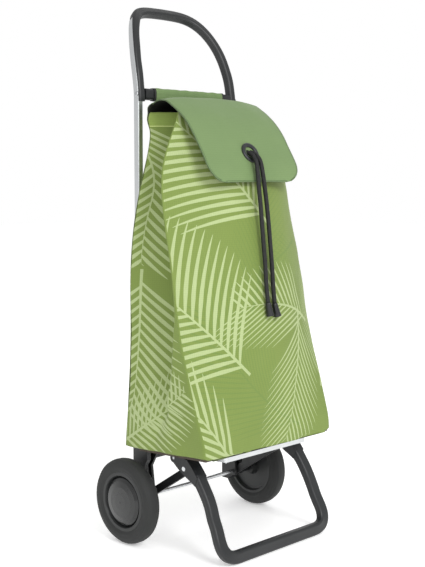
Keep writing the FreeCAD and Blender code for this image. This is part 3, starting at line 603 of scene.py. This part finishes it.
SIDE_SWELL, REAR_SWELL = 3.0, 3.5      # how far the two halves of the folded side bow out (mm)
SETTLE = 170.0             # height over which the platform's slope dies out of the bag (mm)
FRONT_STEPS, FACET_STEPS, SIDE_STEPS, REAR_STEPS = 22, 6, 12, 14
HALF_STEPS = FRONT_STEPS + FACET_STEPS + SIDE_STEPS + REAR_STEPS
BODY_COLUMNS, BODY_ROWS = 2 * HALF_STEPS, 100


@functools.lru_cache(maxsize=None)
def bag_section(z):
    """Half the bag's outline at one height, from the middle of the front to the back edge.

    Gives its points and how far round the cloth each one is.
    """
    back, fold_x, fold_y, crease_x, crease_y, corner_x, corner_y, front_y = (
        smooth_through(ROW_Z, [row[k] for row in BAG_ROWS], z) for k in range(1, 9))
    points = []
    for step in range(FRONT_STEPS):
        share = step / FRONT_STEPS
        points.append((corner_x * share, front_y + (corner_y - front_y) * share ** FRONT_ROUNDING))
    panels = [((corner_x, corner_y), (crease_x, crease_y), FACET_STEPS, 0.0),
              ((crease_x, crease_y), (fold_x, fold_y), SIDE_STEPS, SIDE_SWELL),
              ((fold_x, fold_y), (back, BACK_Y), REAR_STEPS, REAR_SWELL)]
    for start, end, steps, swell in panels:
        for step in range(steps):
            share = step / steps
            out = swell * math.sin(math.pi * share)
            points.append((start[0] + (end[0] - start[0]) * share + out,
                           start[1] + (end[1] - start[1]) * share))
    points.append((back, BACK_Y))
    walked = [0.0]
    for a, b in zip(points, points[1:]):
        walked.append(walked[-1] + math.dist(a, b))
    return points, walked


def bag_point(column, row):
    """A point of the bag's wall and its place on the printed cloth, from shares of its grid."""
    z = ROW_Z[0] + (ROW_Z[-1] - ROW_Z[0]) * row
    points, walked = bag_section(z)
    index = round((column * 2 - 1) * HALF_STEPS)
    side = 1 if index >= 0 else -1
    x, y = points[abs(index)]
    # the lower edge lies on the sloping platform, and the slope dies out further up
    settle = max(0.0, 1 - (z - ROW_Z[0]) / SETTLE)
    height = z + SLOPE * (BACK_Y - y) * settle
    return Vector((side * x, y, height)) * MM, (side * walked[abs(index)] * MM, z * MM)


class BagSettings(bpy.types.PropertyGroup):
    """Cloth and colours of the bag."""
    cloth_thickness: bpy.props.FloatProperty(
        name="Cloth thickness", description="Thickness of the bag's cloth", default=0.0012, unit="LENGTH")
    swell: bpy.props.FloatProperty(
        name="Swell", description="How uneven the hanging cloth is", default=0.005, unit="LENGTH")
    cloth: bpy.props.FloatVectorProperty(
        name="Cloth colour", description="Ground of the print, where it took the dye well", size=4,
        min=0, max=1, subtype="COLOR", default=linear("#6b7f36"))
    cloth_light: bpy.props.FloatVectorProperty(
        name="Light cloth colour", description="Ground of the print, where it took less dye", size=4,
        min=0, max=1, subtype="COLOR", default=linear("#7a8d42"))
    pale_leaf: bpy.props.FloatVectorProperty(
        name="Leaf colour", description="Pale printed leaves", size=4, min=0, max=1, subtype="COLOR",
        default=linear("#a5b47e"))
    dim_leaf: bpy.props.FloatVectorProperty(
        name="Dim leaf colour", description="Faint printed leaves", size=4, min=0, max=1, subtype="COLOR",
        default=linear("#5f7c38"))
    lid: bpy.props.FloatVectorProperty(
        name="Lid colour", description="Plain cloth of lid and sleeve", size=4, min=0, max=1,
        subtype="COLOR", default=linear("#688150"))
    aluminium: bpy.props.FloatVectorProperty(
        name="Rail colour", description="Anodised rails and platform frame", size=4, min=0, max=1,
        subtype="COLOR", default=linear("#d4d6d7"))


class TROLLEY_OT_finishes(bpy.types.Operator):
    """Make every finish and give it to the frame's parts"""
    bl_idname = "trolley.finishes"
    bl_label = "Finishes"

    def execute(self, context):
        make_finishes(context.scene.trolley_bag)
        return {"FINISHED"}


def close_floor(piece):
    """Closes the bag's lower edge by strips that join each point of it to the one opposite."""
    mesh = bmesh.new()
    mesh.from_mesh(piece.data)
    mesh.verts.ensure_lookup_table()
    for step in range(HALF_STEPS):
        corners = [mesh.verts[HALF_STEPS - step], mesh.verts[HALF_STEPS - step - 1],
                   mesh.verts[HALF_STEPS + step + 1], mesh.verts[HALF_STEPS + step]]
        if step == 0:
            corners = corners[:3]
        strip = mesh.faces.new(corners)
        strip.normal_update()
        if strip.normal.z > 0:
            strip.normal_flip()
        strip.material_index = 1
        strip.smooth = True
    mesh.to_mesh(piece.data)
    mesh.free()


BODY_SWELL, LID_SWELL = 85 * MM, 110 * MM      # size of the swells of the cloth
LID_SWELL_HEIGHT = 4 * MM


class TROLLEY_OT_bag_body(bpy.types.Operator):
    """Sew the front and the folded sides of the bag"""
    bl_idname = "trolley.bag_body"
    bl_label = "Bag body"

    def execute(self, context):
        settings = context.scene.trolley_bag
        piece = cloth_grid("bag_body", BODY_COLUMNS, BODY_ROWS, bag_point)
        crumple(piece, BODY_SWELL, settings.swell)
        side_panel = piece.data.attributes.new("side_panel", "FLOAT", "POINT")
        for vertex in piece.data.vertices:
            steps = abs(vertex.index % (BODY_COLUMNS + 1) - HALF_STEPS)
            side_panel.data[vertex.index].value = min(1.0, max(0.0, (steps - FRONT_STEPS) * 0.5 + 0.5))
        dress(piece, "printed_fabric", "lining_fabric")
        close_floor(piece)
        finish_with(piece, "SOLIDIFY", thickness=settings.cloth_thickness, offset=-1, material_offset=1,
                    material_offset_rim=0)
        finish_with(piece, "SUBSURF", levels=1, render_levels=1)
        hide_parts("bag_shell")
        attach(piece, "frame")
        flatten_with_fold(piece)
        return {"FINISHED"}


def run_along(points, share):
    """The point at a share of the length of a line of points, and how far along it that is."""
    lengths = [0.0]
    for a, b in zip(points, points[1:]):
        lengths.append(lengths[-1] + (b - a).length)
    target = share * lengths[-1]
    k = max(i for i in range(len(points) - 1) if lengths[i] <= target)
    part = (target - lengths[k]) / (lengths[k + 1] - lengths[k])
    return points[k].lerp(points[k + 1], part), target


def smooth_line(points, steps=12):
    """A line of points, smoothed by a Catmull-Rom curve."""
    result = []
    for k in range(len(points) - 1):
        before = points[max(k - 1, 0)]
        a, b = points[k], points[k + 1]
        after = points[min(k + 2, len(points) - 1)]
        for step in range(steps):
            s = step / steps
            result.append(0.5 * ((2 * a) + (b - before) * s + (2 * before - 5 * a + 4 * b - after) * s * s
                                 + (3 * a - before - 3 * b + after) * s ** 3))
    return result + [points[-1].copy()]


def over_mouth(points):
    """Points (y, z) in mm of the middle of the lid or back, as vectors in metres."""
    return smooth_line([Vector((0, y, z)) * MM for y, z in points])


REAR_LINE = over_mouth([
    (74.6, 189), (74.8, 300), (74.8, 450), (74.6, 600), (74.4, 720), (73.8, 800), (72.8, 822), (69, 838),
    (62, 847), (52, 852.8)])
LID_LINE = over_mouth([
    (54, 851.8), (45, 855.2), (34, 857.5), (22, 856.6), (10, 853.5), (-12, 840), (-25, 830), (-36, 820.5),
    (-46, 810), (-55, 799), (-64, 786.5), (-72, 773.5), (-87, 748.6), (-98, 727), (-104, 711), (-107, 695)])
LID_LENGTH = run_along(LID_LINE, 1.0)[1]
LID_HALF, LID_CORNER = 124.0, 42.0     # half width of the lid and radius of its corners (mm)
HINGE_HALF = LID_HALF - 3              # half width of the lid and its strip where they join (mm)
LID_WIDENS = 1 / 6         # share of the lid's length over which it reaches its full width
LID_DROOP = 9.0            # how far its side edges hang below its middle at the hinge (mm)
DROOP_LOST = 0.75          # share of that droop which is gone at its front edge
STRIP_LOW, STRIP_HIGH = ROW_Z[-1] - 6, ROW_Z[-1] + 20      # heights over which the back widens (mm)
DROOP_LOW, DROOP_HIGH = 822.0, 852.0   # heights over which its side edges come to droop (mm)
# where each plain or small piece was cut from its cloth, so that no two show the same patch (m)
LID_CLOTH, SLEEVE_CLOTH = 0.5, 2.0
POCKET_CLOTH = (0.02, 0.03)


def rear_point(column, row):
    """The back of the bag with the strip that carries the lid."""
    point, walked = run_along(REAR_LINE, row)
    z = point.z / MM
    half = smooth_through(ROW_Z, [row_sizes[1] for row_sizes in BAG_ROWS], z)
    rise = min(1.0, max(0.0, (z - STRIP_LOW) / (STRIP_HIGH - STRIP_LOW)))
    half += (HINGE_HALF - half) * rise * rise * (3 - 2 * rise)
    share = column * 2 - 1
    across = share * half
    droop = LID_DROOP * abs(share) ** 3 * max(0.0, (z - DROOP_LOW) / (DROOP_HIGH - DROOP_LOW))
    return Vector((across, point.y / MM, z - droop)) * MM, (-across * MM, walked + ROW_Z[0] * MM)


def lid_point(column, row):
    """The lid: it falls away towards its side edges and its front corners are round."""
    point, walked = run_along(LID_LINE, row)
    half = HINGE_HALF + (LID_HALF - HINGE_HALF) * min(1.0, row / LID_WIDENS)
    to_front = (LID_LENGTH - walked) / MM
    if to_front < LID_CORNER:
        half = half - LID_CORNER + math.sqrt(max(0.0, LID_CORNER ** 2 - (LID_CORNER - to_front) ** 2))
    across = (column * 2 - 1) * half
    droop = LID_DROOP * abs(across / LID_HALF) ** 3 * (1 - DROOP_LOST * row)
    return Vector((across, point.y / MM, point.z / MM - droop)) * MM, (across * MM + LID_CLOTH, walked)


# columns and rows of the smaller pieces of cloth
REAR_GRID, POCKET_GRID, LID_GRID, SLEEVE_GRID = (40, 110), (36, 36), (72, 96), (80, 48)


class TROLLEY_OT_bag_back(bpy.types.Operator):
    """Sew the back of the bag with the strip over the mouth that the lid hangs from"""
    bl_idname = "trolley.bag_back"
    bl_label = "Bag back"

    def execute(self, context):
        settings = context.scene.trolley_bag
        piece = cloth_grid("bag_rear", *REAR_GRID, rear_point, flip=True)
        dress(piece, "printed_fabric", "lining_fabric", "plain_fabric", "lining_fabric")
        for face in piece.data.polygons:
            if face.center.z > TOP_Z - 2 * MM:
                face.material_index = 2
        finish_with(piece, "SOLIDIFY", thickness=settings.cloth_thickness, offset=0, material_offset=1,
                    material_offset_rim=0)
        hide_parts("bag_back")
        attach(piece, "frame")
        flatten_with_fold(piece)
        return {"FINISHED"}


POCKET_GAP = 1.2 * MM      # from the back's cloth to the pocket's sewn edges
POCKET_FULLNESS = 0.7      # share of the CAD pocket's depth that the pocket's mouth stands out by
POCKET_BASE = 0.35         # share of that which is left at its lower edge
POCKET_FLATNESS = 0.6      # power of its bulge across: the lower, the flatter its middle


class TROLLEY_OT_back_pocket(bpy.types.Operator):
    """Sew the flat pocket on the back"""
    bl_idname = "trolley.back_pocket"
    bl_label = "Back pocket"

    def execute(self, context):
        settings = context.scene.trolley_bag
        low, high = (Vector(corner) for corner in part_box("back_pocket"))

        def pocket_point(column, row):
            x = low.x + (high.x - low.x) * column
            z = low.z + (high.z - low.z) * row
            loose = math.sin(math.pi * column) ** POCKET_FLATNESS * (POCKET_BASE + (1 - POCKET_BASE) * row)
            y = low.y + POCKET_GAP + (high.y - low.y) * POCKET_FULLNESS * loose
            return Vector((x, y, z)), (POCKET_CLOTH[0] - x, POCKET_CLOTH[1] + z)

        piece = cloth_grid("bag_pocket", *POCKET_GRID, pocket_point, flip=True)
        dress(piece, "printed_fabric")
        finish_with(piece, "SOLIDIFY", thickness=settings.cloth_thickness, offset=0)
        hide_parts("back_pocket")
        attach(piece, "frame")
        flatten_with_fold(piece)
        return {"FINISHED"}


STITCHED_STEPS = 14        # the lid's stitched edge lies within this many steps of its grid
FAR_FROM_EDGE = 20 * MM    # further in than any stitch
LID_LAYERS = 1.5           # the lined lid's thickness in thicknesses of the bag's cloth


def lid_steps(index):
    """How many grid steps a point of the lid is from its free edges."""
    columns, rows = LID_GRID
    row, column = divmod(index, columns + 1)
    return min(column, columns - column, rows - row)


class TROLLEY_OT_lid(bpy.types.Operator):
    """Sew the lid flap with its turned and stitched edge"""
    bl_idname = "trolley.lid"
    bl_label = "Lid"

    def execute(self, context):
        settings = context.scene.trolley_bag
        piece = cloth_grid("bag_lid", *LID_GRID, lid_point, flip=True)
        crumple(piece, LID_SWELL, LID_SWELL_HEIGHT)
        edge_gap = piece.data.attributes.new("edge_gap", "FLOAT", "POINT")
        border = [vertex.co.copy() for vertex in piece.data.vertices if lid_steps(vertex.index) == 0]
        for vertex in piece.data.vertices:
            gap = FAR_FROM_EDGE
            if lid_steps(vertex.index) < STITCHED_STEPS:
                gap = min((vertex.co - point).length for point in border)
            edge_gap.data[vertex.index].value = gap
        dress(piece, "plain_fabric", "lining_fabric")
        finish_with(piece, "SOLIDIFY", thickness=LID_LAYERS * settings.cloth_thickness, offset=-1,
                    material_offset=1)
        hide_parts("lid_flap")
        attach(piece, "lid")
        flatten_with_fold(piece)
        return {"FINISHED"}


def middle_and_half(node):
    """The middle of a CAD node's box and half its size, as vectors."""
    low, high = (Vector(corner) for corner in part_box(node))
    return (low + high) / 2, (high - low) / 2


SLEEVE_SQUARENESS = 3.2    # 2 would be an oval, and a high number a box
SLEEVE_RIPPLE = 0.5 * MM
RIPPLES_ALONG, RIPPLES_SKEW = 210, 40  # how fast the ripples come and turn along the bar (radians a metre)
SLEEVE_WRAP = 76 * MM      # length of cloth round the crossbar
BOUND_END = 4 * MM         # width of the sleeve's bound ends


class TROLLEY_OT_sleeve(bpy.types.Operator):
    """Wrap the crossbar in its cloth sleeve with bound ends"""
    bl_idname = "trolley.sleeve"
    bl_label = "Crossbar sleeve"

    def execute(self, context):
        centre, half = middle_and_half("crossbar_sleeve")

        def sleeve_point(column, row):
            turn = 2 * math.pi * row
            across, up = math.cos(turn), math.sin(turn)
            x = (column * 2 - 1) * half.x
            y = math.copysign(abs(across) ** (2 / SLEEVE_SQUARENESS), across) * half.y
            z = math.copysign(abs(up) ** (2 / SLEEVE_SQUARENESS), up) * half.z
            ripple = SLEEVE_RIPPLE * math.sin(x * RIPPLES_ALONG) * math.cos(turn * 2 + x * RIPPLES_SKEW)
            point = Vector((x, centre.y + y * (1 + ripple / half.y), centre.z + z * (1 + ripple / half.z)))
            return point, (x + SLEEVE_CLOTH, row * SLEEVE_WRAP)

        piece = cloth_grid("bar_sleeve", *SLEEVE_GRID, sleeve_point, flip=True)
        finish_with(piece, "WELD", merge_threshold=0.05 * MM)
        edge_gap = piece.data.attributes.new("edge_gap", "FLOAT", "POINT")
        for vertex in piece.data.vertices:
            # the ends' edge is under their binding, so only a row of stitches shows
            edge_gap.data[vertex.index].value = half.x - abs(vertex.co.x) + LID_TRIM + 0.1 * MM
        dress(piece, "plain_fabric", "lining_fabric")
        for face in piece.data.polygons:
            if abs(face.center.x) > half.x - BOUND_END:
                face.material_index = 1
        finish_with(piece, "SOLIDIFY", thickness=1 * MM, offset=-1)
        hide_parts("crossbar_sleeve")
        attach(piece, "frame")
        return {"FINISHED"}


def ring_of(name, profile, segments, centre, normal):
    """A turned piece: a closed profile of radii and heights spun about an axis."""
    clear_selection()
    bpy.ops.mesh.primitive_circle_add(vertices=len(profile), radius=0.01, location=(0, 0, 0))
    piece = bpy.context.object
    piece.name = piece.data.name = name
    for vertex, (radius, height) in zip(piece.data.vertices, profile):
        vertex.co = (radius, 0, height)
    bpy.ops.object.mode_set(mode="EDIT")
    bpy.ops.mesh.select_all(action="SELECT")
    bpy.ops.mesh.spin(steps=segments, angle=2 * math.pi, center=(0, 0, 0), axis=(0, 0, 1))
    bpy.ops.mesh.select_all(action="SELECT")
    bpy.ops.mesh.remove_doubles(threshold=0.02 * MM)
    bpy.ops.mesh.normals_make_consistent(inside=False)
    bpy.ops.object.mode_set(mode="OBJECT")
    turn = Vector((0, 0, 1)).rotation_difference(Vector(normal).normalized())
    for vertex in piece.data.vertices:
        vertex.co = turn @ vertex.co + Vector(centre)
    bpy.ops.object.shade_smooth_by_angle(angle=math.radians(40))
    return piece


LID_NORMAL = (0, -0.873, 0.488)        # the way the lid faces where the eyelet is
EYELET_HOLE = 12.5 * MM
EYELET_RISE = 3.4 * MM     # height of the eyelet's rounded rim over the cloth
RIM_STEPS, EYELET_SEGMENTS = 13, 64


def eyelet_profile(outer):
    """The eyelet's section: a rounded rim outside, and a short collar through the lid."""
    middle, spread = (outer + EYELET_HOLE) / 2, (outer - EYELET_HOLE) / 2
    rim = []
    for step in range(RIM_STEPS + 1):
        angle = math.pi * step / RIM_STEPS
        rim.append((middle + spread * math.cos(angle), EYELET_RISE * abs(math.sin(angle)) ** 0.7))
    collar = EYELET_HOLE + 1.2 * MM
    return rim + [(EYELET_HOLE, -4 * MM), (collar, -4 * MM), (collar, -0.4 * MM), (outer, -0.4 * MM)]


def washer_profile(outer):
    """The washer's section: a flat ring with a raised middle."""
    hole, low, high = EYELET_HOLE + 1.3 * MM, 0.6 * MM, 1.2 * MM
    return [(outer, -low), (outer, low), (outer - 1 * MM, high), (EYELET_HOLE + 2 * MM, high),
            (hole, low), (hole, -low)]


class TROLLEY_OT_eyelet(bpy.types.Operator):
    """Press the eyelet and its washer through the lid"""
    bl_idname = "trolley.eyelet"
    bl_label = "Eyelet"

    def execute(self, context):
        for name, node, profile in (("lid_eyelet", "eyelet_front", eyelet_profile),
                                    ("lid_washer", "eyelet_washer", washer_profile)):
            centre, half = middle_and_half(node)
            piece = ring_of(name, profile(half.x), EYELET_SEGMENTS, centre, LID_NORMAL)
            dress(piece, "eyelet_plastic")
            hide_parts(node)
            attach(piece, "lid")
            flatten_with_fold(piece)
        return {"FINISHED"}


# the routes of the two drawcords, in metres, from behind the eyelet to their ends
CORD_ROUTES = {
    "drawcord_right": [
        (0.0048, -0.0675, 0.756), (0.0048, -0.080, 0.7515), (0.005, -0.0955, 0.748),
        (0.005, -0.109, 0.7365), (0.0055, -0.114, 0.716), (0.0075, -0.1165, 0.694),
        (0.0125, -0.118, 0.661), (0.016, -0.1205, 0.620), (0.0175, -0.124, 0.577),
        (0.019, -0.1275, 0.536), (0.0175, -0.132, 0.494), (0.018, -0.1355, 0.466)],
    "drawcord_left": [
        (-0.0048, -0.0675, 0.756), (-0.0048, -0.080, 0.7515), (-0.0055, -0.096, 0.748),
        (-0.0065, -0.1095, 0.7355), (-0.0075, -0.114, 0.713), (-0.007, -0.116, 0.690),
        (-0.004, -0.118, 0.655), (-0.0025, -0.121, 0.615), (-0.0015, -0.1245, 0.574),
        (-0.0005, -0.1285, 0.534), (-0.002, -0.1325, 0.496), (-0.001, -0.136, 0.469)],
}
CORD_RADIUS = 0.0042
CORD_SIDES, CAP_SEGMENTS = 20, 40
STRANDS = 6                # strands of the braid that show round the cord
STRAND_LUMP = 0.02         # share of the cord's radius that they stand out by
STRAND_TWIST = 900         # how fast they wind round the cord (radians a metre)
CAP_AIMS = {"drawcord_right": (0.2, -0.14, -1), "drawcord_left": (0.12, -0.12, -1)}
CAP_OVERLAP = 0.4 * MM     # the cap's mouth reaches this far up the cord
# section of a bell-shaped end cap in millimetres: its outside from the mouth down, the rolled rim
# and the hollow inside
CAP_PROFILE = [(4.9, 0), (5.3, 0.6), (5.5, 4), (5.8, 10), (6.5, 18), (7.4, 23.5), (7.5, 25.2), (7, 25.8),
               (6.2, 25.5), (5.8, 23.5), (0.4, 22.5), (0.4, 0.8)]


def route_line(name, points):
    """The smooth line of a route, as points along its NURBS spline."""
    curve = bpy.data.curves.new(name + "_route", "CURVE")
    curve.dimensions = "3D"
    curve.resolution_u = 12
    spline = curve.splines.new("NURBS")
    spline.points.add(len(points) - 1)
    for point, place in zip(spline.points, points):
        point.co = (*place, 1)
    spline.order_u = 3
    spline.use_endpoint_u = True
    holder = bpy.data.objects.new(name + "_route", curve)
    bpy.context.scene.collection.objects.link(holder)
    bpy.context.view_layer.update()
    mesh = bpy.data.meshes.new_from_object(holder)
    line = [vertex.co.copy() for vertex in mesh.vertices]
    bpy.data.objects.remove(holder)
    bpy.data.meshes.remove(mesh)
    return line


def tube_along(name, line, radius, sides):
    """A round tube along a line, with its own cloth map running along it."""
    travelled = [0.0]
    for a, b in zip(line, line[1:]):
        travelled.append(travelled[-1] + (b - a).length)
    across = Vector((1, 0, 0))
    frames = []
    for k, point in enumerate(line):
        ahead = (line[min(k + 1, len(line) - 1)] - line[max(k - 1, 0)]).normalized()
        across = (across - ahead * across.dot(ahead)).normalized()
        frames.append((point, across.copy(), ahead.cross(across)))

    def tube_point(column, row):
        k = round(row * (len(line) - 1))
        point, first, second = frames[k]
        turn = 2 * math.pi * column
        lumps = 1 - STRAND_LUMP * (1 + math.sin(STRANDS * turn + travelled[k] * STRAND_TWIST)) / 2
        return (point + (first * math.cos(turn) + second * math.sin(turn)) * radius * lumps,
                (column * 2 * math.pi * radius, travelled[k]))

    piece = cloth_grid(name, sides, len(line) - 1, tube_point)
    clear_selection()
    piece.select_set(True)
    bpy.context.view_layer.objects.active = piece
    bpy.ops.object.mode_set(mode="EDIT")
    bpy.ops.mesh.select_all(action="SELECT")
    bpy.ops.mesh.remove_doubles(threshold=0.01 * MM)
    bpy.ops.mesh.select_all(action="DESELECT")
    bpy.ops.mesh.select_non_manifold()
    bpy.ops.mesh.edge_face_add()
    bpy.ops.mesh.select_all(action="SELECT")
    bpy.ops.mesh.normals_make_consistent(inside=False)
    bpy.ops.object.mode_set(mode="OBJECT")
    return piece


class TROLLEY_OT_drawcords(bpy.types.Operator):
    """Hang the two drawcords from the eyelet and press on their end caps"""
    bl_idname = "trolley.drawcords"
    bl_label = "Drawcords"

    def execute(self, context):
        for name, route in CORD_ROUTES.items():
            line = route_line(name, route)
            piece = tube_along(name + "_braid", line, CORD_RADIUS, CORD_SIDES)
            dress(piece, "cord_braid")
            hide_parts(name)
            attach(piece, "frame")
            aim = Vector(CAP_AIMS[name]).normalized()
            bell = [(radius * MM, height * MM) for radius, height in CAP_PROFILE]
            cap = ring_of(name + "_end", bell, CAP_SEGMENTS, line[-1] - aim * CAP_OVERLAP, aim)
            dress(cap, "cap_plastic")
            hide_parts(name + "_cap")
            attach(cap, "frame")
            flatten_with_fold(piece)
            flatten_with_fold(cap)
        return {"FINISHED"}


class StageSettings(bpy.types.PropertyGroup):
    """Camera, floor and lamps."""
    lens: bpy.props.FloatProperty(
        name="Lens", description="Focal length of the camera", default=67.4, unit="CAMERA")
    room_light: bpy.props.FloatProperty(
        name="Room light", description="Strength of the even light from all round", default=0.72, min=0)
    key_power: bpy.props.FloatProperty(
        name="Key lamp", description="Power of the main lamp", default=62.0, unit="POWER")
    fill_power: bpy.props.FloatProperty(
        name="Fill lamp", description="Power of the fill lamp and of the rim lamp", default=14.0,
        unit="POWER")


CAMERA_PLACE = (-1.475, -1.465, 0.704)
CAMERA_TURN = (84.28, 0, -44.94)       # degrees
FLOOR_SIZE, FLOOR_Z = 24, -0.0004      # the floor lies just under the tyres and the foot
FLOOR_GLOW = 0.3           # keeps the floor as white as the room behind it
LAMPS_AIM = Vector((0, 0, 0.5))


class TROLLEY_OT_stage(bpy.types.Operator):
    """Set up a pale floor, soft lamps and the camera"""
    bl_idname = "trolley.stage"
    bl_label = "Stage"

    def execute(self, context):
        scene, settings = context.scene, context.scene.trolley_stage
        camera = bpy.data.objects.new("camera", bpy.data.cameras.new("camera"))
        scene.collection.objects.link(camera)
        camera.location = CAMERA_PLACE
        camera.rotation_euler = [math.radians(angle) for angle in CAMERA_TURN]
        camera.data.lens = settings.lens
        scene.camera = camera
        clear_selection()
        bpy.ops.mesh.primitive_plane_add(size=FLOOR_SIZE, location=(0, 0, FLOOR_Z))
        floor = context.object
        floor.name = "floor"
        white = linear("#ffffff")
        material, tree, shader = start_material("studio_floor", white, 0.7)
        shader.inputs["Emission Color"].default_value = white
        shader.inputs["Emission Strength"].default_value = FLOOR_GLOW
        floor.data.materials.append(material)
        if scene.world is None:
            scene.world = bpy.data.worlds.new("studio")
        scene.world.use_nodes = True
        scene.view_settings.view_transform = "Standard"
        # the lens sees a white room, and the softer light of the room leaves the folds their shade
        tree = scene.world.node_tree
        seen = add(tree, "ShaderNodeLightPath").outputs["Is Camera Ray"]
        strength = add(tree, "ShaderNodeMapRange", {"Value": seen, "To Min": settings.room_light,
                                                    "To Max": 1.0})
        backdrop = tree.nodes["Background"]
        backdrop.inputs["Color"].default_value = white
        tree.links.new(strength.outputs[0], backdrop.inputs["Strength"])
        # each lamp's place, power and size
        for name, place, power, size in (("key", (-0.7, -2.9, 2.3), settings.key_power, 1.2),
                                         ("fill", (-2.8, -1.4, 1.6), settings.fill_power, 1.4),
                                         ("rim", (2.2, 1.6, 2.2), settings.fill_power, 1.6)):
            lamp = bpy.data.objects.new(name, bpy.data.lights.new(name, "AREA"))
            scene.collection.objects.link(lamp)
            lamp.location = place
            lamp.data.energy = power
            lamp.data.size = size
            lamp.rotation_euler = (LAMPS_AIM - Vector(place)).to_track_quat("-Z", "Y").to_euler()
        return {"FINISHED"}


OPERATORS = (TROLLEY_OT_finishes, TROLLEY_OT_stage, TROLLEY_OT_drawcords, TROLLEY_OT_bag_body,
             TROLLEY_OT_bag_back, TROLLEY_OT_back_pocket, TROLLEY_OT_lid, TROLLEY_OT_eyelet,
             TROLLEY_OT_sleeve)


class TROLLEY_PT_panel(bpy.types.Panel):
    """Lists the steps that dress the trolley"""
    bl_label = "Shopping trolley"
    bl_idname = "TROLLEY_PT_panel"
    bl_space_type = "VIEW_3D"
    bl_region_type = "UI"
    bl_category = "Trolley"

    def draw(self, context):
        for operator in OPERATORS:
            self.layout.operator(operator.bl_idname)


CLASSES = (BagSettings, StageSettings) + OPERATORS + (TROLLEY_PT_panel,)


def register():
    for cls in CLASSES:
        bpy.utils.register_class(cls)
    bpy.types.Scene.trolley_bag = bpy.props.PointerProperty(type=BagSettings)
    bpy.types.Scene.trolley_stage = bpy.props.PointerProperty(type=StageSettings)


def unregister():
    del bpy.types.Scene.trolley_bag
    del bpy.types.Scene.trolley_stage
    for cls in reversed(CLASSES):
        bpy.utils.unregister_class(cls)


def main():
    """Builds everything in order."""
    register()
    for operator in OPERATORS:
        getattr(bpy.ops.trolley, operator.bl_idname.split(".")[1])()


if __name__ == "__main__":
    main()
